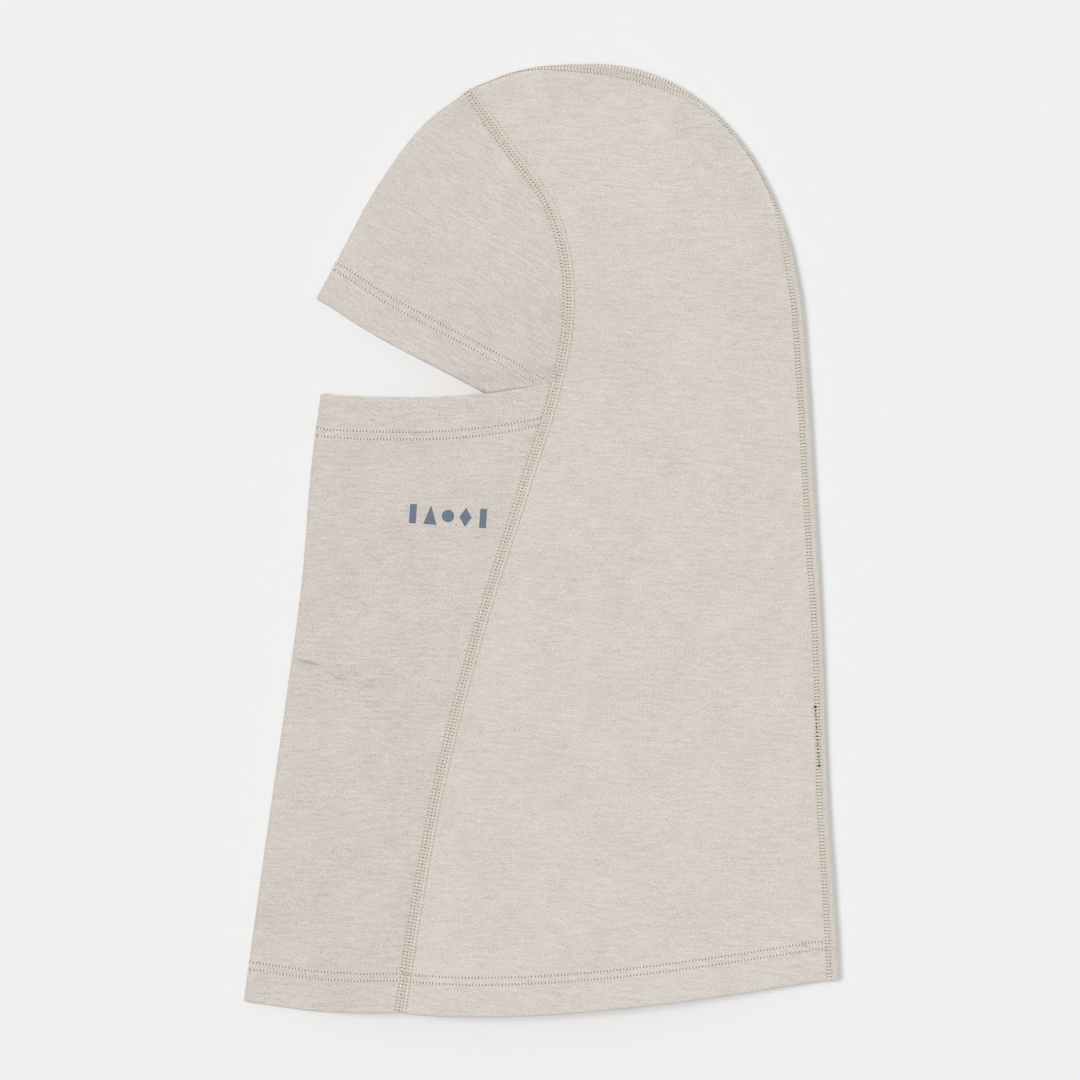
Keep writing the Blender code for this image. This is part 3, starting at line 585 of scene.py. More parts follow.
def panel(name, part, rows, grid, home, material, folds=ALL_FOLDS, sinks=False):
    """Closed shell of one panel, with the flat cut's place of each corner in the attribute cloth."""
    outer_values, outer_shift, inner_values, inner_shift = (np.array(column) for column in zip(*rows))
    values, places = np.unique(np.round(np.concatenate([outer_values, inner_values]), 3), return_inverse=True)
    points, layers = grid(values)
    drape = Drape(points, layers, folds, sinks)
    outer_rows, inner_rows = places[:len(rows)], places[len(rows):]
    outer = drape.rows(outer_rows, outer_shift, RIDGE)
    inner = drape.rows(inner_rows, inner_shift, 0.0)
    flat = unfolded(part, values, points, layers, home)[outer_rows]
    layers = layers[outer_rows]
    cloth = np.concatenate([flat.reshape(-1, 2), flat.reshape(-1, 2)])
    cloth = np.column_stack([cloth, np.zeros(len(cloth))])
    corners = np.concatenate([outer.reshape(-1, 3), inner.reshape(-1, 3)])
    quads = facing_out(corners, shell_quads(*layers.shape))
    return mesh_object(name, corners, quads, [material], [("cloth", "FLOAT_VECTOR", cloth)])


# -------------------- materials


SHEEN_ROUGHNESS = 0.6


class Nodes:
    """A material's node tree, built by short calls; a number or a socket may be given for any input."""

    def __init__(self, name):
        self.material = bpy.data.materials.new(name)
        self.material.use_nodes = True
        self.tree = self.material.node_tree
        self.shader = self.tree.nodes["Principled BSDF"]

    def feed(self, socket, value):
        if isinstance(value, bpy.types.NodeSocket):
            self.tree.links.new(value, socket)
        else:
            socket.default_value = value

    def node(self, kind, **settings):
        made = self.tree.nodes.new(kind)
        for key, value in settings.items():
            setattr(made, key, value)
        return made

    def math(self, operation, *values):
        made = self.node("ShaderNodeMath", operation=operation)
        for socket, value in zip(made.inputs, values):
            self.feed(socket, value)
        return made.outputs[0]

    def noise(self, vector, scale, detail=2.0, roughness=0.5):
        made = self.node("ShaderNodeTexNoise")
        self.feed(made.inputs["Vector"], vector)
        self.feed(made.inputs["Scale"], scale)
        self.feed(made.inputs["Detail"], detail)
        self.feed(made.inputs["Roughness"], roughness)
        return made.outputs["Fac"]

    def combine(self, x, y, z):
        made = self.node("ShaderNodeCombineXYZ")
        for socket, value in zip(made.inputs, (x, y, z)):
            self.feed(socket, value)
        return made.outputs[0]

    def stretched(self, x, y, scale_x, scale_y, z):
        return self.combine(self.math("MULTIPLY", x, scale_x), self.math("MULTIPLY", y, scale_y), z)

    def split(self, vector):
        made = self.node("ShaderNodeSeparateXYZ")
        self.feed(made.inputs[0], vector)
        return made.outputs[0], made.outputs[1]

    def mix(self, share, first, second):
        made = self.node("ShaderNodeMix", data_type="RGBA")
        self.feed(made.inputs[0], share)
        self.feed(made.inputs[6], first)
        self.feed(made.inputs[7], second)
        return made.outputs[2]

    def attribute(self, name, output="Vector"):
        made = self.node("ShaderNodeAttribute", attribute_name=name)
        return made.outputs[output]

    def bump(self, height, distance, strength=1.0):
        made = self.node("ShaderNodeBump")
        self.feed(made.inputs["Height"], height)
        self.feed(made.inputs["Distance"], distance)
        self.feed(made.inputs["Strength"], strength)
        self.feed(self.shader.inputs["Normal"], made.outputs[0])

    def finish(self, roughness, sheen=0.0, specular=0.2):
        self.feed(self.shader.inputs["Roughness"], roughness)
        self.feed(self.shader.inputs["Sheen Weight"], sheen)
        self.feed(self.shader.inputs["Sheen Roughness"], SHEEN_ROUGHNESS)
        self.feed(self.shader.inputs["Specular IOR Level"], specular)
        return self.material


COURSE = 0.52                    # height of one row of knitted loops
WALE = 0.66                      # width of one column of loops
# dark brown of the painted shade in the puckers' hollows and under the lower panel's edge
CREASE_SHADE_BROWN = (0.200, 0.150, 0.115, 1.0)
CLOTH_STOPS = ((0.0, (0.877, 0.826, 0.770, 1.0)), (0.42, (0.758, 0.697, 0.641, 1.0)),
               (0.70, (0.659, 0.598, 0.542, 1.0)), (1.0, (0.510, 0.451, 0.396, 1.0)))
# Crinkled places of the upper layer: centre, direction of the small folds in degrees, reach along and across,
# spacing of the folds, height
CRINKLES = (
    ((-94.0, -73.0), -13.0, 34.0, 13.0, 3.2, 0.16),
    ((-9.0, 42.0), -4.0, 22.0, 8.0, 3.0, 0.16),
    ((70.0, 206.0), -40.0, 12.0, 9.0, 2.0, 0.15),
    ((82.0, 187.0), -50.0, 13.0, 8.0, 2.0, 0.16),
    ((96.0, 168.0), -60.0, 12.0, 6.0, 2.0, 0.14),
    ((11.0, 74.0), -4.0, 7.0, 6.0, 2.6, 0.11),
    ((8.0, 54.0), -8.0, 7.0, 5.0, 2.4, 0.11),
    ((130.0, -206.0), -10.0, 15.0, 13.0, 3.2, 0.20),
    ((-24.0, 208.0), -56.0, 14.0, 8.0, 3.0, 0.16),
    ((60.0, -190.0), -8.0, 60.0, 24.0, 8.0, 0.10),
)
# Sharp little creases of the cloth: centre, direction in degrees, half length, half width, height
SHARP_CREASES = (
    ((-116.0, -61.6), -13.5, 6.5, 0.55, -0.52),
    ((-116.5, -59.4), -10.0, 6.5, 0.90, 0.45),
    ((-102.7, -68.5), -21.0, 5.5, 0.50, -0.38),
    ((-103.0, -66.6), -18.0, 5.0, 0.80, 0.30),
    ((-92.5, -67.0), -34.0, 2.2, 0.40, -0.40),
    ((-86.0, -72.0), -22.0, 4.5, 0.45, -0.35),
    ((-84.5, -81.0), -10.0, 6.0, 0.70, 0.30),
    ((71.5, 203.0), -50.0, 2.4, 0.45, -0.34),
    ((75.5, 198.5), -35.0, 2.4, 0.45, -0.34),
    ((69.0, 208.5), -20.0, 2.2, 0.45, -0.28),
)


def turned_to(n, x, y, centre, degrees):
    """Distances along and across a direction, from a centre."""
    cos, sin = math.cos(math.radians(degrees)), math.sin(math.radians(degrees))
    dx, dy = n.math("SUBTRACT", x, centre[0]), n.math("SUBTRACT", y, centre[1])
    along = n.math("MULTIPLY_ADD", dy, sin, n.math("MULTIPLY", dx, cos))
    return along, n.math("MULTIPLY_ADD", dx, -sin, n.math("MULTIPLY", dy, cos))


def far_from(n, along, across, reach, width):
    """Squared distance from a centre, 1 on an oval of the given half axes."""
    far = n.math("POWER", n.math("DIVIDE", along, reach), 2.0)
    return n.math("ADD", far, n.math("POWER", n.math("DIVIDE", across, width), 2.0))


def fading(n, far):
    return n.math("EXPONENT", n.math("MULTIPLY", far, -1.0))


STRAY_SCALE, STRAY_TURN = 0.11, 16.0      # noise that bends the puckers' folds, and how far in radians
PATCHY_SCALE, PATCHY_GAIN, PATCHY_DROP = 0.20, 4.0, -1.2  # noise that breaks the puckers up
BEND_SCALE, BEND_WIDTH = 0.5, 1.4         # noise that bends the sharp creases, and how far


def crinkled(n, x, y):
    """Height in millimetres of the small puckers where the sewing or a fold gathers the cloth."""
    total = 0.0
    stray = n.noise(n.combine(x, y, 7.0), STRAY_SCALE, 2.0)
    patchy = n.noise(n.combine(x, y, 4.0), PATCHY_SCALE, 1.0)
    patchy = n.math("MAXIMUM", n.math("MULTIPLY_ADD", patchy, PATCHY_GAIN, PATCHY_DROP), 0.0)
    for centre, degrees, reach, width, spacing, rise in CRINKLES:
        along, across = turned_to(n, x, y, centre, degrees)
        mask = n.math("MAXIMUM", n.math("SUBTRACT", 1.0, far_from(n, along, across, reach, width)), 0.0)
        phase = n.math("MULTIPLY_ADD", stray, STRAY_TURN, n.math("MULTIPLY", across, 2 * math.pi / spacing))
        fold = n.math("MULTIPLY", n.math("SINE", phase), n.math("MULTIPLY", mask, rise))
        total = n.math("MULTIPLY_ADD", fold, patchy, total)
    bend = n.noise(n.combine(x, y, 3.0), BEND_SCALE, 1.0)
    bend = n.math("MULTIPLY_ADD", bend, BEND_WIDTH, -BEND_WIDTH / 2)
    for centre, degrees, reach, width, rise in SHARP_CREASES:
        along, across = turned_to(n, x, y, centre, degrees)
        far = far_from(n, along, n.math("ADD", across, bend), reach, width)
        total = n.math("MULTIPLY_ADD", fading(n, far), rise, total)
    return total


TUCK = (-29.8, 73.2)             # where the brow panel's edge slips under the lower front panel
TUCK_LINE = 8.3                  # directions there in degrees: of the lower panel's edge, and of the brow's
TUCK_RIM = -28.5
# Half widths and strengths of the painted shade: of the line under the lower edge (slope: along it), of the
# rim and of the spot
TUCK_LINE_WIDTH, TUCK_LINE_SHADE, TUCK_LINE_SLOPE = 0.55, 0.52, -0.011
TUCK_RIM_SIZE, TUCK_RIM_SHADE = (9.0, 0.5), 0.5
TUCK_SPOT_SIZE = (2.6, 1.4)


def tuck_shade(n, x, y):
    """Painted shade on the brow panel where the lower panel lies close over it, deepest at the corner."""
    along, across = turned_to(n, x, y, TUCK, TUCK_LINE)
    line = fading(n, n.math("POWER", n.math("DIVIDE", across, TUCK_LINE_WIDTH), 2.0))
    line = n.math("MULTIPLY", line, n.math("MULTIPLY_ADD", along, TUCK_LINE_SLOPE, TUCK_LINE_SHADE))
    rim = fading(n, far_from(n, *turned_to(n, x, y, TUCK, TUCK_RIM), *TUCK_RIM_SIZE))
    spot = fading(n, far_from(n, along, across, *TUCK_SPOT_SIZE))
    corner = n.math("MAXIMUM", n.math("MULTIPLY", rim, TUCK_RIM_SHADE), spot)
    return n.math("MAXIMUM", n.math("MAXIMUM", line, 0.0), corner)


WANDER_SCALE, WANDER = 0.06, 3.0          # noise that moves the knitted rows, and how far
YARN_SHIFT = 400.0               # greatest shift of one row's strands along it
STRAND_SCALES = (0.30, 3.1)      # of the strands' noise, along the rows and from row to row


def knitted_rows(n, cloth, grain):
    """Places along and across the knitted rows, which wander; their count; and the noise of their strands."""
    turn = n.node("ShaderNodeVectorRotate", rotation_type="Z_AXIS")
    n.feed(turn.inputs["Vector"], cloth)
    n.feed(turn.inputs["Angle"], math.radians(-grain))
    x, y = n.split(turn.outputs[0])
    wander = n.math("SUBTRACT", n.noise(n.combine(x, y, 0.0), WANDER_SCALE, 1.0), 0.5)
    y = n.math("MULTIPLY_ADD", wander, WANDER, y)
    course = n.math("DIVIDE", y, COURSE)
    number = n.math("FLOOR", course)
    yarn = n.node("ShaderNodeTexWhiteNoise", noise_dimensions="1D")
    n.feed(yarn.inputs["W"], number)
    long_x = n.math("MULTIPLY_ADD", yarn.outputs["Value"], YARN_SHIFT, x)
    return x, y, course, n.noise(n.stretched(long_x, number, *STRAND_SCALES, 0.0), 1.0, 3.0, 0.6)


FLECK_SCALES, STREAK_SCALES, PATCH_SCALE = (1.25, 1.7), (0.09, 0.62), 0.035
TONE_STRENGTHS = (0.8, 2.05, 0.72, 0.25)  # of strands, flecks, streaks and patches


def heathered(n, x, y, strand, middle):
    """Tone of the mixed fibres: strands along the rows, flecks, longer streaks and large soft patches."""
    fleck = n.noise(n.stretched(x, y, *FLECK_SCALES, 5.0), 1.0, 2.0, 0.7)
    streak = n.noise(n.stretched(x, y, *STREAK_SCALES, 9.0), 1.0, 3.0, 0.6)
    patch = n.noise(n.combine(x, y, 2.0), PATCH_SCALE, 2.0)
    tone = middle
    for pattern, strength in zip((strand, fleck, streak, patch), TONE_STRENGTHS):
        tone = n.math("MULTIPLY_ADD", n.math("SUBTRACT", pattern, 0.5), strength, tone)
    return tone


LEG_LEAN, LEG_SHARE = 0.9, 0.35           # slant of a loop's legs, and their height against the columns'
FLUFF_SCALE = 1.9
FLUFF_HIGH, LOOP_HIGH, STRAND_HIGH = 0.34, 0.06, 0.14


def knit_height(n, x, y, course, strand):
    """Height in millimetres of the loops and the fluff on them."""
    lean = n.math("PINGPONG", n.math("DIVIDE", x, WALE), 0.5)
    leg = n.math("SINE", n.math("MULTIPLY", n.math("MULTIPLY_ADD", lean, LEG_LEAN, course), 2 * math.pi))
    column = n.math("ABSOLUTE", n.math("SINE", n.math("MULTIPLY", x, 2 * math.pi / WALE)))
    loop = n.math("MULTIPLY_ADD", leg, LEG_SHARE, column)
    fluff = n.noise(n.combine(x, y, 1.0), FLUFF_SCALE, 3.0, 0.7)
    height = n.math("MULTIPLY_ADD", fluff, FLUFF_HIGH, n.math("MULTIPLY", loop, LOOP_HIGH))
    return n.math("MULTIPLY_ADD", strand, STRAND_HIGH, height)


def colour_ramp(n, tone, stops):
    ramp = n.node("ShaderNodeValToRGB")
    n.feed(ramp.inputs[0], tone)
    elements = ramp.color_ramp.elements
    elements[0].position, elements[0].color = stops[0]
    elements[1].position, elements[1].color = stops[-1]
    for position, colour in stops[1:-1]:
        elements.new(position).color = colour
    return ramp.outputs[0]


MIDDLE_TONE = 0.42
HOLLOW_FROM, HOLLOW_GAIN, HOLLOW_MOST = -0.10, 0.9, 0.55  # depth where the puckers' hollows start to get painted shade, how fast it deepens, how much at most


def jersey(name, grain, tone_shift, tuck=False):
    """Heathered single jersey; grain is the knitted rows' direction in degrees, tone_shift darkens it. The
    puckers' hollows get painted shade, and with tuck so does the brow under the lower panel's edge.
    """
    n = Nodes(name)
    cloth = n.attribute("cloth")
    flat_x, flat_y = n.split(cloth)
    x, y, course, strand = knitted_rows(n, cloth, grain)
    puckers = crinkled(n, flat_x, flat_y)
    hollow = n.math("MAXIMUM", n.math("MULTIPLY_ADD", puckers, -1.0, HOLLOW_FROM), 0.0)
    shade = n.math("MINIMUM", n.math("MULTIPLY", hollow, HOLLOW_GAIN), HOLLOW_MOST)
    if tuck:
        shade = n.math("MAXIMUM", shade, tuck_shade(n, flat_x, flat_y))
    colour = colour_ramp(n, heathered(n, x, y, strand, MIDDLE_TONE + tone_shift), CLOTH_STOPS)
    # painted shade: the puckers' hollows, and with tuck the brow under the lower panel's edge, turn towards a
    # dark brown
    n.feed(n.shader.inputs["Base Color"], n.mix(shade, colour, CREASE_SHADE_BROWN))
    n.bump(n.math("ADD", knit_height(n, x, y, course, strand), puckers), MM)
    return n.finish(0.95, sheen=0.12, specular=0.1)


def mottled(n, grain, colour, pale, deep):
    """A colour between a paler and a deeper share of itself, and the noise that mixes them."""
    coordinates = n.node("ShaderNodeTexCoord").outputs["Object"]
    tone = n.noise(coordinates, grain, 2.0)
    high = tuple(min(1.0, c * pale) for c in colour[:3]) + (1.0,)
    low = tuple(c * deep for c in colour[:3]) + (1.0,)
    return n.mix(tone, low, high), tone, coordinates


def thread_material(name, colour, dark):
    """Spun sewing thread, with painted shade where it dives into the cloth."""
    n = Nodes(name)
    spun, _, coordinates = mottled(n, 900.0, colour, 1.1, 0.86)
    n.feed(n.shader.inputs["Base Color"], n.mix(n.attribute("dip_shade", "Fac"), spun, dark))
    n.bump(n.noise(coordinates, 5200.0, 1.0), 0.08 * MM, 0.5)
    return n.finish(0.75, sheen=0.35)


def plain_material(name, colour, roughness, grain=1500.0, depth=0.04):
    """One colour, slightly mottled, with a fine grain; depth is the grain's in millimetres."""
    n = Nodes(name)
    mixed, tone, _ = mottled(n, grain, colour, 1.08, 0.88)
    n.feed(n.shader.inputs["Base Color"], mixed)
    n.bump(tone, depth * MM, 0.6)
    return n.finish(roughness)


SEAM_CREAM = (0.850, 0.797, 0.688, 1.0)
HEM_CREAM = (0.890, 0.845, 0.785, 1.0)
# dark of the painted shade at the needle holes and where the threads go into the cloth
HOLE_SHADE_BROWN = (0.150, 0.115, 0.080, 1.0)

cloth_side = jersey("jersey_side", -3.0, 0.0)
cloth_front = jersey("jersey_front", -1.0, 0.08)
cloth_brow = jersey("jersey_brow", -29.0, 0.05, tuck=True)
seam_thread = thread_material("flatlock_thread", SEAM_CREAM, HOLE_SHADE_BROWN)
hem_thread = thread_material("coverstitch_thread", HEM_CREAM, HOLE_SHADE_BROWN)
dark_thread = thread_material("tacking_thread", (0.030, 0.026, 0.024, 1.0), (0.020, 0.020, 0.020, 1.0))
hole_shade = plain_material("needle_hole_shade", HOLE_SHADE_BROWN, 1.0)
print_film = plain_material("slate_print", (0.165, 0.200, 0.255, 1.0), 0.7, 1800.0, 0.06)
label_tape = plain_material("woven_tape", (0.80, 0.80, 0.79, 1.0), 0.6, 2600.0)

# -------------------- panels

side_rows = crown_rows(SEAM.length)
left_side = panel("left_side", SIDE, side_rows, side_grid(1.0, BACK_COLUMNS[0]), 1.0, cloth_side)
right_side = panel("right_side", SIDE, side_rows, side_grid(-1.0, BACK_COLUMNS[1]), -1.0, cloth_side)
brow = panel("brow", BROW, crown_rows(BROW_AT), folded_grid(BROW), 1.0, cloth_brow, (BACK, BROW_FOLD), True)
lower_rows = front_rows(NOSE_AT, SEAM.length)
lower_front = panel("lower_front", FRONT, lower_rows, folded_grid(FRONT), 1.0, cloth_front)

# -------------------- stitches


class Course:
    """A stitched line over the garment: places in plan and their layers, measured by length in space."""

    def __init__(self, points, layers, sinks=False, ridge=RIDGE):
        self.points = points
        self.layers = layers
        self.sinks = sinks
        self.ridge = ridge
        self.marks = running_length(Drape(points, layers, sinks=sinks).at(0.0))
        self.length = self.marks[-1]

    def at(self, lengths, shift):
        """Places in space at lengths along the line, shifted out from the cloth, and the normals there."""
        places = plan_at(lengths, self.marks, self.points)
        index = np.clip(np.searchsorted(self.marks, lengths), 0, len(self.layers) - 1)
        drape = Drape(places, self.layers[index], sinks=self.sinks)
        return drape.at(shift, self.ridge), drape.normal


def oval(first, second, wide, high, sides):
    """Rings of corners about each centre, oval along two unit ways."""
    angles = 2 * math.pi * np.arange(sides) / sides
    return (first[:, None, :] * np.cos(angles)[None, :, None] * wide
            + second[:, None, :] * np.sin(angles)[None, :, None] * high)


def ring_quads(rings, sides):
    """Numbers of the corners of stacked rings, the same for the corner after each, and the faces between."""
    index = np.arange(rings * sides).reshape(rings, sides)
    after = np.roll(index, -1, axis=1)
    return index, after, np.stack([index[:-1], after[:-1], after[1:], index[1:]], axis=-1).reshape(-1, 4)


def sweep(name, centres, normals, half_wide, half_high, sides, material, dip_shades=None):
    """One closed thread along the centres, oval in section."""
    along = unit(np.gradient(centres, axis=0))
    across = unit(np.cross(normals, along))
    up = np.cross(along, across)
    wide, high = (np.broadcast_to(half, len(centres))[:, None, None] for half in (half_wide, half_high))
    corners = (centres[:, None, :] + oval(across, up, wide, high, sides)).reshape(-1, 3)
    index, _, quads = ring_quads(len(centres), sides)
    caps = [index[0, ::-1], index[-1]]
    shade = np.zeros(len(centres)) if dip_shades is None else dip_shades
    attributes = [("dip_shade", "FLOAT", np.repeat(shade, sides))]
    return mesh_object(name, corners, quads, [material], attributes, extra=caps)


# One needle stitch: steps along it as shares of the stitch, its height there, and how much painted shade it
# gets where it goes into the cloth
FLOAT_STEPS = np.array([0.0, 0.10, 0.24, 0.42, 0.60, 0.78, 0.90])
FLOAT_RISES = np.array([-0.30, -0.02, 0.15, 0.21, 0.20, 0.10, -0.08])
FLOAT_DIP_SHADES = np.array([1.0, 0.65, 0.05, 0.0, 0.0, 0.10, 0.7])
# One swing of a cover or looper thread: steps along it, place across the band from -1 to 1, and height
SWING_STEPS = np.array([0.0, 0.10, 0.17, 0.24, 0.31, 0.40, 0.50, 0.60, 0.68, 0.75, 0.82, 0.90])
SWING = np.array([-1.0, -0.72, -0.34, 0.05, 0.42, 0.78, 1.0, 0.80, 0.45, 0.05, -0.35, -0.75])
SWING_RISES = np.array([-0.03, 0.06, 0.0, 0.06, 0.0, 0.05, -0.03, 0.10, 0.05, 0.11, 0.05, 0.08])
THREAD_HALF = (0.21, 0.16)       # half width and half height of a needle thread
END_GAP = 0.02                   # threads stop just short of their line's ends
FIRST_HOLE = 0.2                 # from a line's start, as a share of a stitch
UNEVEN_STITCH, UNEVEN_SWING = 0.07, 0.05  # shares of a stitch by which threads stray
UNEVEN_RISE = 0.04
WEAVE_HALF = (0.22, 0.10)        # half width and half height of a cover or looper thread
NEEDLE_SIDES, WEAVE_SIDES = 6, 5


def unit(vectors):
    return vectors / np.maximum(np.linalg.norm(vectors, axis=1, keepdims=True), 1e-9)


def needle_thread(name, course, material, seed, lift):
    """Stitches that float from hole to hole on the cloth; gives the thread and where its holes are."""
    random = np.random.default_rng(seed)
    count = int(course.length / STITCH)
    starts = (np.arange(count) + FIRST_HOLE) * course.length / count
    starts += random.uniform(-UNEVEN_STITCH, UNEVEN_STITCH, count) * STITCH
    lengths = (starts[:, None] + FLOAT_STEPS[None, :] * STITCH).reshape(-1)
    lengths = np.clip(np.maximum.accumulate(lengths), END_GAP, course.length - END_GAP)
    sway = np.repeat(random.uniform(-UNEVEN_RISE, UNEVEN_RISE, count), len(FLOAT_STEPS))
    rises = np.tile(FLOAT_RISES, count) + THICK / 2 + sway + lift
    centres, normals = course.at(lengths, rises)
    dip_shades = np.tile(FLOAT_DIP_SHADES, count)
    return sweep(name, centres, normals, *THREAD_HALF, NEEDLE_SIDES, material, dip_shades), starts


# Discs of painted shade at the needle holes
HOLE_SIDES = 8
HOLE_DEEP = 0.06
HOLE_SQUEEZE = 0.75              # length of a hole along the stitches against its width
HOLE_AHEAD = 0.05                # from a stitch's start to the middle of its hole
HOLE_CHORD = 0.3                 # over which a hole's direction is taken


def needle_hole_shades(name, course, starts, lift, radius):
    """Small discs of painted shade where the needle went through; the thread beside each one covers part of
    it.
    """
    lengths = np.clip(starts + HOLE_AHEAD, END_GAP, course.length - END_GAP)
    centres, normals = course.at(lengths, THICK / 2 + lift)
    ahead, _ = course.at(np.clip(lengths + HOLE_CHORD, 0.0, course.length), THICK / 2 + lift)
    along = unit(ahead - centres)
    across = np.cross(normals, along)
    top = centres[:, None, :] + oval(along, across, radius * HOLE_SQUEEZE, radius, HOLE_SIDES)
    corners = np.concatenate([top, top - normals[:, None, :] * HOLE_DEEP], axis=1).reshape(-1, 3)
    face = np.array([[0, 1, 2, 3], [0, 3, 4, 7], [4, 5, 6, 7]])
    loop = np.arange(HOLE_SIDES)
    wall = np.stack([loop, loop + HOLE_SIDES, np.roll(loop, -1) + HOLE_SIDES, np.roll(loop, -1)], axis=1)
    one = np.concatenate([wall, face, face[:, ::-1] + HOLE_SIDES])
    quads = (one[None, :, :] + np.arange(len(centres))[:, None, None] * 2 * HOLE_SIDES).reshape(-1, 4)
    return mesh_object(name, corners, quads, [hole_shade], smooth=False)


def weaving_thread(name, lanes, offsets, shift, material, seed, half_wide=WEAVE_HALF[0]):
    """Cover or looper thread swinging across a band; lanes give places at (lengths, offset)."""
    random = np.random.default_rng(seed)
    count = int(lanes.length / STITCH)
    starts = np.arange(count) * lanes.length / count
    jitter = random.uniform(-UNEVEN_SWING, UNEVEN_SWING, (count, len(SWING_STEPS)))
    lengths = (starts[:, None] + (SWING_STEPS[None, :] + jitter) * STITCH).reshape(-1)
    lengths = np.clip(lengths, END_GAP, lanes.length - END_GAP)
    across = (offsets[0] + offsets[1]) / 2 + (offsets[1] - offsets[0]) / 2 * np.tile(SWING, count)
    rises = math.copysign(1.0, shift) * np.tile(SWING_RISES, count)
    centres, normals = lanes.at(lengths, across, shift + rises)
    return sweep(name, centres, normals, half_wide, WEAVE_HALF[1], WEAVE_SIDES, material)


COURSE_STEP = 0.8                # between the places that a stitched line is made from
CROWN_SPAN = (2.5, 5.0)          # from the crown, where the front seam's lanes go round the folded edge


BACK_RIDGE = 0.6 * RIDGE         # at the back seam the cloth is raised less


class Lanes:
    """Lines beside each other along a seam; places are in plan, at lengths and offsets from its middle."""

    def at(self, lengths, offset, shift):
        points, layers = self.places(lengths, np.broadcast_to(offset, lengths.shape))
        drape = Drape(points, layers)
        return drape.at(shift + self.lift, self.ridge), drape.normal

    def course(self, offset):
        lengths = np.arange(0.0, self.length, COURSE_STEP)
        points, layers = self.places(lengths, np.full(len(lengths), offset))
        return Course(points, layers, ridge=self.ridge)


class ArchLanes(Lanes):
    """The front seam, from the left hem over the crown to the right hem."""

    lift, ridge = 0.0, RIDGE

    def __init__(self, trim):
        self.half = SEAM.length - trim
        self.length = 2 * self.half

    def places(self, lengths, offset):
        travel = lengths - self.half
        value = np.abs(travel)
        layer = np.where(travel > 0, -1.0, 1.0)
        beside = SEAM.at(value) + left_of(SEAM.along(value)) * offset[:, None]
        depth = turned_depth(value)
        size = np.abs(offset)
        back = BACK.at(size) + BACK.inward(size) * depth[:, None]
        brow_side = BROW_FOLD.at(size) + BROW_FOLD.inward(size) * depth[:, None]
        folded = np.where((offset >= 0)[:, None], back, brow_side)
        over_fold = near(value, CROWN_SPAN)[:, None]
        return folded * over_fold + beside * (1 - over_fold), layer


class BackLanes(Lanes):
    """The back seam, from the crown to the hem."""

    lift, ridge = BACK_RIDGE, 0.0

    def __init__(self, start, trim):
        self.start = start
        self.length = BACK.length - trim - start

    def places(self, lengths, offset):
        down = lengths + self.start
        arc = back_arc(down) + offset
        points = BACK.at(down) + BACK.inward(down) * turned_depth(arc)[:, None]
        return points, layer_of(arc)


def straight_shares(part, value):
    """Even shares of a row from the front seam to the fold, a course step apart."""
    room = np.linalg.norm(part.straight(np.array([value]), np.array([0.0, 1.0]))[0, 1] - SEAM.at(value))
    return np.linspace(0.0, 1.0, int(room / COURSE_STEP))


TURN_COLUMNS = 25


def hem_course(gap):
    """Round the bottom opening at a height above the hem fold, starting and ending at the back seam."""
    side = np.array([SEAM.length - gap])
    share = straight_shares(SIDE, side[0])
    top = SIDE.straight(side, share)[0][::-1]
    front = FRONT.straight(side, straight_shares(FRONT, side[0]))[0]
    front_turn, front_arcs = FRONT.turned(side, 1.0, -1.0, TURN_COLUMNS)
    back_turn, back_arcs = SIDE.turned(side, -1.0, 1.0, TURN_COLUMNS)
    points = [top, front, front_turn[0], front[::-1], top[::-1], back_turn[0]]
    layers = [np.ones(len(top)), np.ones(len(front)), layer_of(front_arcs[0]),
              -np.ones(len(front)), -np.ones(len(top)), np.where(back_arcs[0] > 0, 1.0, -1.0)]
    points, layers = np.concatenate(points), np.concatenate(layers)
    apart = np.concatenate([[True], np.linalg.norm(np.diff(points, axis=0), axis=1) > SAME_PLACE])
    return Course(points[apart], layers[apart], ridge=RIDGE + BAND_THICK)


def opening_course(part, value, start, sinks=False):
    """Along a face opening hem from the left seam round the front fold to the right seam."""
    at = np.array([value])
    share = straight_shares(part, value)
    place = part.straight(at, share)[0]
    gap = np.linalg.norm(place - place[0], axis=1)
    place = place[gap >= start]
    turned, arcs = part.turned(at, 1.0, -1.0, TURN_COLUMNS)
    points = np.concatenate([place, turned[0][1:-1], place[::-1]])
    top = np.ones(len(place))
    layers = np.concatenate([top, layer_of(arcs[0])[1:-1], -top])
    return Course(points, layers, sinks)


class HemLanes:
    """A band between two hem lines, for the looper thread inside the hem."""

    def __init__(self, low, high):
        self.low = low
        self.high = high
        self.length = min(low.length, high.length)

    def at(self, lengths, offset, shift):
        share = (offset + 1.0) / 2.0
        first, normals = self.low.at(lengths / self.length * self.low.length, shift)
        second, _ = self.high.at(lengths / self.length * self.high.length, shift)
        return first * (1 - share)[:, None] + second * share[:, None], normals


# Out from the cloth: needle threads of a seam, and its cover and looper threads
FRONT_SEAM_SHIFT, FRONT_BAND_SHIFT = 0.20, 0.08
BACK_SEAM_SHIFT, BACK_BAND_SHIFT = 0.38, 0.26
HEM_SHIFT = 0.06
HOLE_SHIFT = 0.10
HEM_LOOPER_GAP = 0.12
INSIDE = -2 * HEM_TURN - THICK / 2 - HEM_LOOPER_GAP   # shift of the hems' looper threads
INSIDE_SHIFT = 0.04              # how much further in a seam's looper lies than its cover thread lies out
HEM_LOOPER_HALF = 0.16
RAW_EDGE_GAP = 1.0               # seam loopers stop this far from a hem's raw edge
SEAM_TRIM = 0.6                  # the seams' threads stop this far from the hem fold
BACK_START = 3.4
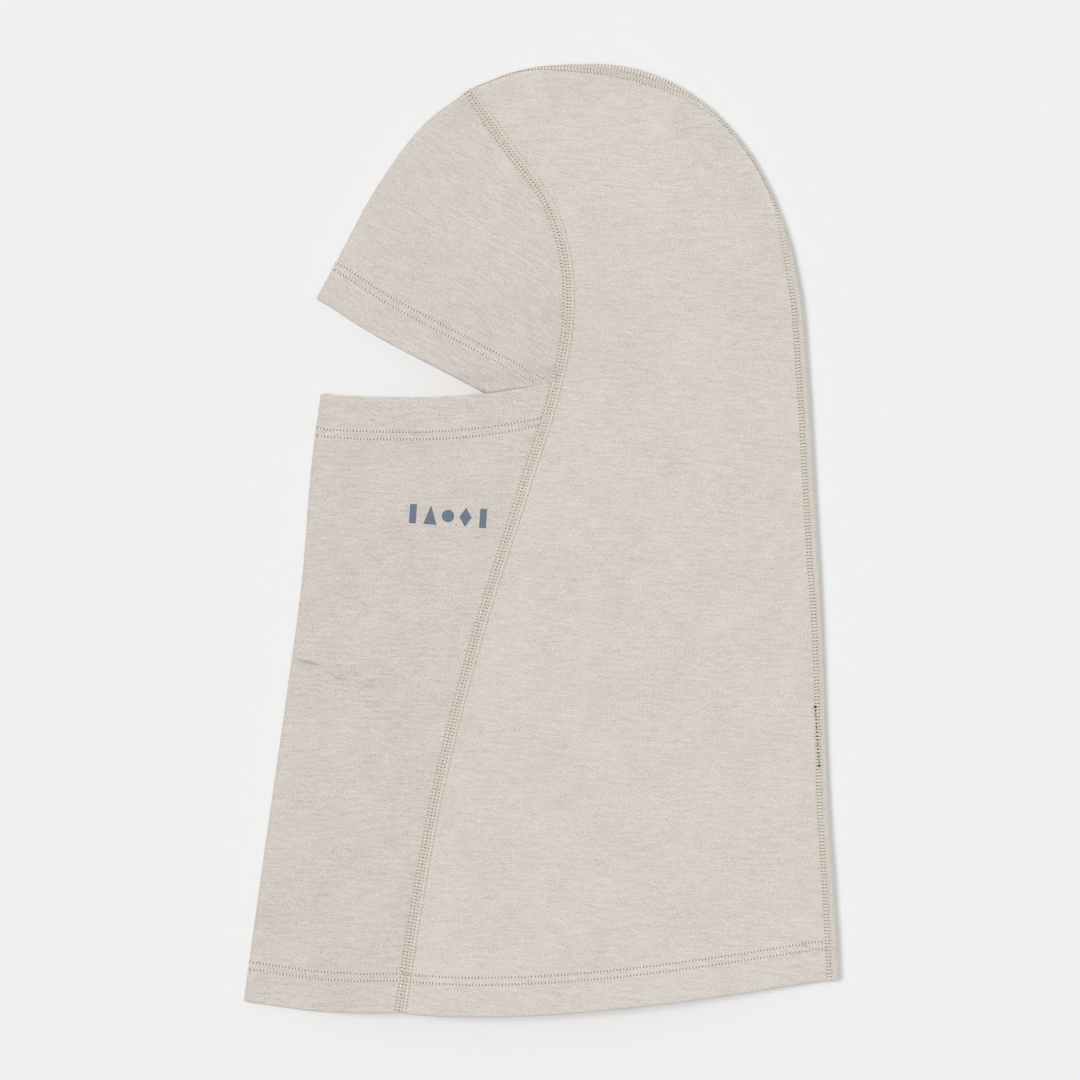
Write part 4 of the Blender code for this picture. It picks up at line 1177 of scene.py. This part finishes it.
# Half sizes of the discs of painted shade at the needle holes: a seam's rows, then a hem's
BAND_HOLES = (0.22, 0.43, 0.52, 0.44)     # half sizes, from the back of the head forwards
HEM_HOLES = (0.48, 0.48)
BAND_ROWS = [ROW_PITCH * (number - 1.5) for number in range(4)]
pieces = []


def sew_rows(prefix, courses, material, seed, shift, hole_sizes):
    """Needle threads of one seam or hem, and discs of painted shade at the holes beside their stitches."""
    for number, (course, size) in enumerate(zip(courses, hole_sizes), 1):
        thread, starts = needle_thread(f"{prefix}_needle_{number}", course, material, seed + number, shift)
        pieces.append((thread, f"{prefix}_needle_thread_{number}"))
        holes = needle_hole_shades(f"{prefix}_holes_{number}", course, starts, max(shift, HOLE_SHIFT), size)
        pieces.append((holes, None))


def sew_band(prefix, lanes, inner_lanes, shift, seed, inner_span):
    """Cover thread over a flatlock seam and looper thread under it."""
    face, inside = THICK / 2 + shift, -THICK / 2 - shift - INSIDE_SHIFT
    cover = weaving_thread(f"{prefix}_cover", lanes, (-BAND_HALF, BAND_HALF), face, seam_thread, seed)
    looper = weaving_thread(f"{prefix}_looper", inner_lanes, inner_span, inside, seam_thread, seed + 1)
    pieces.append((cover, f"{prefix}_cover_thread"))
    pieces.append((looper, f"{prefix}_looper_thread"))


def sew_looper(prefix, low, high, seed):
    """Looper thread on the inside of a turned hem."""
    lanes = HemLanes(low, high)
    looper = weaving_thread(f"{prefix}_looper", lanes, (-1.0, 1.0), INSIDE, hem_thread, seed, HEM_LOOPER_HALF)
    pieces.append((looper, f"{prefix}_looper_thread"))


def sew_front_seam():
    arch = ArchLanes(SEAM_TRIM)
    courses = [arch.course(-offset) for offset in BAND_ROWS]
    sew_rows("front_seam", courses, seam_thread, 10, FRONT_SEAM_SHIFT, BAND_HOLES)
    inner_lanes = ArchLanes(HEM_DEPTH + RAW_EDGE_GAP)
    sew_band("front_seam", arch, inner_lanes, FRONT_BAND_SHIFT, 31, (-BAND_HALF, BAND_HALF))


def sew_back_seam():
    lanes = BackLanes(BACK_START, SEAM_TRIM)
    inner_lanes = BackLanes(BACK_START, HEM_DEPTH + RAW_EDGE_GAP)
    courses = [lanes.course(offset) for offset in BAND_ROWS]
    sew_rows("back_seam", courses, seam_thread, 20, BACK_SEAM_SHIFT, BAND_HOLES)
    sew_band("back_seam", lanes, inner_lanes, BACK_BAND_SHIFT, 41, (-BAND_HALF * 0.6, BAND_HALF))


# From the front seam, where the rows at the face opening start: needle rows, and both sides of the looper
BROW_STARTS, BROW_LOOPER_START, BROW_LOOPER_GAPS = (12.0, 7.0), 4.0, (17.2, 20.2)
NOSE_START, NOSE_LOOPER_START, NOSE_LOOPER_GAPS = 3.2, 17.0, (17.6, 20.6)
LOOPER_EDGE_GAP = 0.4


def sew_hems():
    """Two needle rows and a looper on each hem; rows at the face opening start where the layers part."""
    sew_rows("bottom_hem", [hem_course(gap) for gap in HEM_ROWS], hem_thread, 50, HEM_SHIFT, HEM_HOLES)
    sew_looper("bottom_hem", hem_course(HEM_ROWS[0]), hem_course(HEM_DEPTH - LOOPER_EDGE_GAP), 53)
    courses = [opening_course(BROW, BROW_AT - gap, start, True) for gap, start in zip(BROW_ROWS, BROW_STARTS)]
    sew_rows("brow_hem", courses, hem_thread, 60, HEM_SHIFT, HEM_HOLES)
    low, high = (opening_course(BROW, BROW_AT - gap, BROW_LOOPER_START, True) for gap in BROW_LOOPER_GAPS)
    sew_looper("brow_hem", low, high, 63)
    courses = [opening_course(FRONT, NOSE_AT + gap * NOSE_SLANT, NOSE_START) for gap in NOSE_ROWS]
    sew_rows("nose_hem", courses, hem_thread, 70, HEM_SHIFT, HEM_HOLES)
    low, high = (opening_course(FRONT, NOSE_AT + gap, NOSE_LOOPER_START) for gap in NOSE_LOOPER_GAPS)
    sew_looper("nose_hem", low, high, 73)


sew_front_seam()
sew_back_seam()
sew_hems()

# -------------------- label and print

LABEL_FROM, LABEL_TO = 439.0, 470.5       # lengths down the back edge
TACK_PITCH = 2.1
TACK_ARCS = (4.7, 3.7)           # in from the folded edge, at the top and bottom of the label
TACK_HALF = (0.26, 0.18)
TACK_KNOT = 2.4                  # size of the knots at the ends against the thread between them
# One tacking stitch: steps along it as shares of its pitch, and its height there
TACK_STEPS = np.array([0.0, 0.08, 0.34, 0.42, 0.60, 0.85])
TACK_RISES = np.array([-0.25, 0.74, 0.78, -0.25, -0.30, -0.30])
TACK_SIDES = 8
TAPE_HALF = 0.11
TAPE_TURN = 0.7                  # radius of the soft fold at the label's free end
TAPE_SEWN = 1.0                  # how far the tape goes into the seam
TAPE_INSET = 0.6                 # from the solid's edges in to the tape's
TAPE_CLEAR = (0.5, 0.2)          # room left at its fold, and under it
TAPE_SAG, TAPE_WAVE = 0.25, 0.12


def tack_thread():
    """Dark stitches that show as dots, with a thicker knot at each end."""
    count = int((LABEL_TO - LABEL_FROM) / TACK_PITCH)
    starts = LABEL_FROM + (np.arange(count) + 0.1) * TACK_PITCH
    down = (starts[:, None] + TACK_STEPS[None, :] * TACK_PITCH).reshape(-1)
    arcs = np.interp(down, (LABEL_FROM, LABEL_TO), TACK_ARCS)
    drape = Drape(BACK.at(down) + BACK.inward(down) * turned_depth(arcs)[:, None], np.ones(len(down)))
    size = np.ones(count)
    size[[0, -1]] = TACK_KNOT
    half_wide, half_high = (half * np.repeat(size, len(TACK_STEPS)) for half in TACK_HALF)
    centres = drape.at(THICK / 2 + np.tile(TACK_RISES, count))
    return sweep("label_tack", centres, drape.normal, half_wide, half_high, TACK_SIDES, dark_thread)


def neck_label():
    """Folded woven tape: two plies joined by a soft fold at the free end, its cut ends in the back seam."""
    low, high = (np.array(corner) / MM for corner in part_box("neck_label"))
    sewn = high[0] + TAPE_SEWN
    fold, base = low[0] + TAPE_TURN + TAPE_CLEAR[0], low[2] + TAPE_CLEAR[1]
    length = np.linspace(sewn, fold, 12)
    sag = TAPE_SAG * np.sin((high[0] - length) * TAPE_WAVE)
    path = list(zip(length, base + sag))
    for angle in np.linspace(0.0, math.pi, ROUND_STEPS)[1:-1]:
        path.append((fold - TAPE_TURN * math.sin(angle), base + TAPE_TURN * (1.0 - math.cos(angle))))
    path = np.array(path + list(zip(length[::-1], (base + 2 * TAPE_TURN - sag)[::-1])))
    step = unit(np.gradient(path, axis=0))
    side = left_of(step) * TAPE_HALF
    spans = np.linspace(low[1] + TAPE_INSET, high[1] - TAPE_INSET, 16)
    plies = np.concatenate([path + side, path - side])
    corners = np.array([(x, y, z) for x, z in plies for y in spans])
    quads = facing_out(corners, shell_quads(len(path), len(spans)))
    return mesh_object("nape_label", corners, quads, [label_tape])


pieces += [(tack_thread(), "label_tack_thread"), (neck_label(), "neck_label")]

PRINT_CENTRE = np.array([-46.0, 12.0])
PRINT_TILT = math.radians(-4.0)
PRINT_PITCH = 8.8
PRINT_HIGH = 9.6
PRINT_WIDE = 5.6
PRINT_BAR = 3.4
PRINT_RINGS = 7
PRINT_STEP = 0.7                 # between the corners along a shape's outline
PRINT_FACES = (0.07, 0.01)       # height of a film's two faces over the cloth
TRIANGLE_STRETCH, ROUND_STRETCH = 1.2, 1.1
DISC_SIDES = 40


def shape_outline(kind):
    """Corners of a print shape about its own middle."""
    high, wide, bar = PRINT_HIGH / 2, PRINT_WIDE / 2, PRINT_BAR / 2
    if kind == "bar":
        return [(-bar, -high), (bar, -high), (bar, high), (-bar, high)]
    if kind == "triangle":
        return [(-wide * TRIANGLE_STRETCH, -high), (wide * TRIANGLE_STRETCH, -high), (0.0, high)]
    wide *= ROUND_STRETCH
    if kind == "diamond":
        return [(0.0, -high), (wide, 0.0), (0.0, high), (-wide, 0.0)]
    turns = [2 * math.pi * i / DISC_SIDES for i in range(DISC_SIDES)]
    return [(wide * math.cos(t), wide * math.sin(t)) for t in turns]


def print_piece(name, kind, offset):
    """Thin film that follows the cloth: rings from the outline in to the middle, and a narrow edge."""
    outline = shape_outline(kind)
    dense = []
    for start, end in zip(outline, outline[1:] + outline[:1]):
        steps = max(1, int(math.dist(start, end) / PRINT_STEP))
        dense += [(start[0] + (end[0] - start[0]) * i / steps, start[1] + (end[1] - start[1]) * i / steps)
                  for i in range(steps)]
    dense = np.array(dense)
    middle = np.array(outline).mean(axis=0)
    rings = [middle + (dense - middle) * (1 - i / PRINT_RINGS) for i in range(PRINT_RINGS)]
    plan = np.concatenate(rings + [middle[None, :]])
    plan = plan + np.array([offset, 0.0])
    cos, sin = math.cos(PRINT_TILT), math.sin(PRINT_TILT)
    turn = np.array([[cos, sin], [-sin, cos]])
    drape = Drape(plan @ turn + PRINT_CENTRE, np.ones(len(plan)))
    top, low = (drape.at(THICK / 2 + height) for height in PRINT_FACES)
    count = len(dense)
    index, after, quads = ring_quads(PRINT_RINGS, count)
    below = len(plan)
    under = quads[:, ::-1] + below
    rim = np.stack([after[0], index[0], index[0] + below, after[0] + below], axis=-1)
    centre = PRINT_RINGS * count
    fans = [[one, other, centre] for one, other in zip(index[-1], after[-1])]
    fans += [[centre + below, other + below, one + below] for one, other in zip(index[-1], after[-1])]
    corners = np.concatenate([top, low])
    return mesh_object(name, corners, np.concatenate([quads, under, rim]), [print_film], extra=fans)


PRINT_SHAPES = (("print_bar_left", "bar"), ("print_triangle", "triangle"), ("print_disc", "disc"),
                ("print_diamond", "diamond"), ("print_bar_right", "bar"))
for place, (node, kind) in enumerate(PRINT_SHAPES):
    pieces.append((print_piece("film_" + node, kind, (place - 2) * PRINT_PITCH), node))

# -------------------- frame

panels = [(left_side, "left_side_panel"), (right_side, "right_side_panel"), (brow, "brow_panel"),
          (lower_front, "lower_front_panel")]
for piece, node in panels + pieces:
    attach(piece, "root")
    if node:
        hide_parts(node)


def declare_sheet(piece, hems):
    """Work out a panel's cut size, the extent of its unrolled cloth with the turned part of each hem, and its
    faces' areas; none of them is kept or used.
    """
    mesh = piece.data
    cloth = np.zeros(len(mesh.vertices) * 3, np.float32)
    mesh.attributes["cloth"].data.foreach_get("vector", cloth)
    cloth = cloth.reshape(-1, 3) * MM
    width, length = (cloth.max(axis=0) - cloth.min(axis=0))[:2]
    length += hems * HEM_DEPTH * MM
    areas = np.zeros(len(mesh.polygons), np.float32)
    mesh.polygons.foreach_get("area", areas)


declare_sheet(right_side, 1)
declare_sheet(left_side, 1)
declare_sheet(brow, 1)
declare_sheet(lower_front, 2)

# -------------------- stage

FLOOR_SIZE = 6.0
PAPER = (0.869, 0.869, 0.872, 1.0)
SKY = (0.97, 0.985, 1.0, 1.0)
SKY_STRENGTH = 0.47
VIEW_WIDTH = 0.540
VIEW_DISTANCE = 4.0
SENSOR = 36.0
FAR_END = 20.0                   # how far the camera sees
# Name, strength, angular size in degrees, tilts about X and Y in degrees, colour, casts shadows
LAMPS = (("key", 1.42, 27.0, (-4.0, -31.0), (1.0, 0.99, 0.975), True),
         ("fill", 1.12, 30.0, (-26.0, 60.0), (1.0, 1.0, 1.0), False))


def paper_floor():
    """Plain pale floor that the garment lies on."""
    n = Nodes("studio_paper")
    n.feed(n.shader.inputs["Base Color"], PAPER)
    half = FLOOR_SIZE / 2
    corners = [(-half, -half, 0.0), (half, -half, 0.0), (half, half, 0.0), (-half, half, 0.0)]
    mesh = bpy.data.meshes.new("studio_floor")
    mesh.from_pydata(corners, [], [(0, 1, 2, 3)])
    mesh.materials.append(n.finish(1.0, specular=0.0))
    place_in_scene("studio_floor", mesh)


def lamps():
    """Two soft lamps and an even sky."""
    for name, energy, spread, tilt, colour, shadow in LAMPS:
        sun = bpy.data.lights.new(name, "SUN")
        sun.energy = energy
        sun.angle = math.radians(spread)
        sun.color = colour
        sun.use_shadow = shadow
        place_in_scene(name, sun).rotation_euler = (math.radians(tilt[0]), math.radians(tilt[1]), 0.0)
    world = bpy.data.worlds.new("studio")
    world.use_nodes = True
    sky = world.node_tree.nodes["Background"]
    sky.inputs["Color"].default_value = SKY
    sky.inputs["Strength"].default_value = SKY_STRENGTH
    bpy.context.scene.world = world


def camera_above():
    """Camera straight above, far enough that the sides of the garment hardly show."""
    lens = bpy.data.cameras.new("camera")
    lens.sensor_width = SENSOR
    lens.lens = SENSOR * VIEW_DISTANCE / VIEW_WIDTH
    lens.clip_end = FAR_END
    camera = place_in_scene("camera", lens)
    camera.location = (0.0, 0.0, VIEW_DISTANCE + cad_high.z)
    bpy.context.scene.camera = camera
    bpy.context.scene.view_settings.view_transform = "Standard"


paper_floor()
lamps()
camera_above()
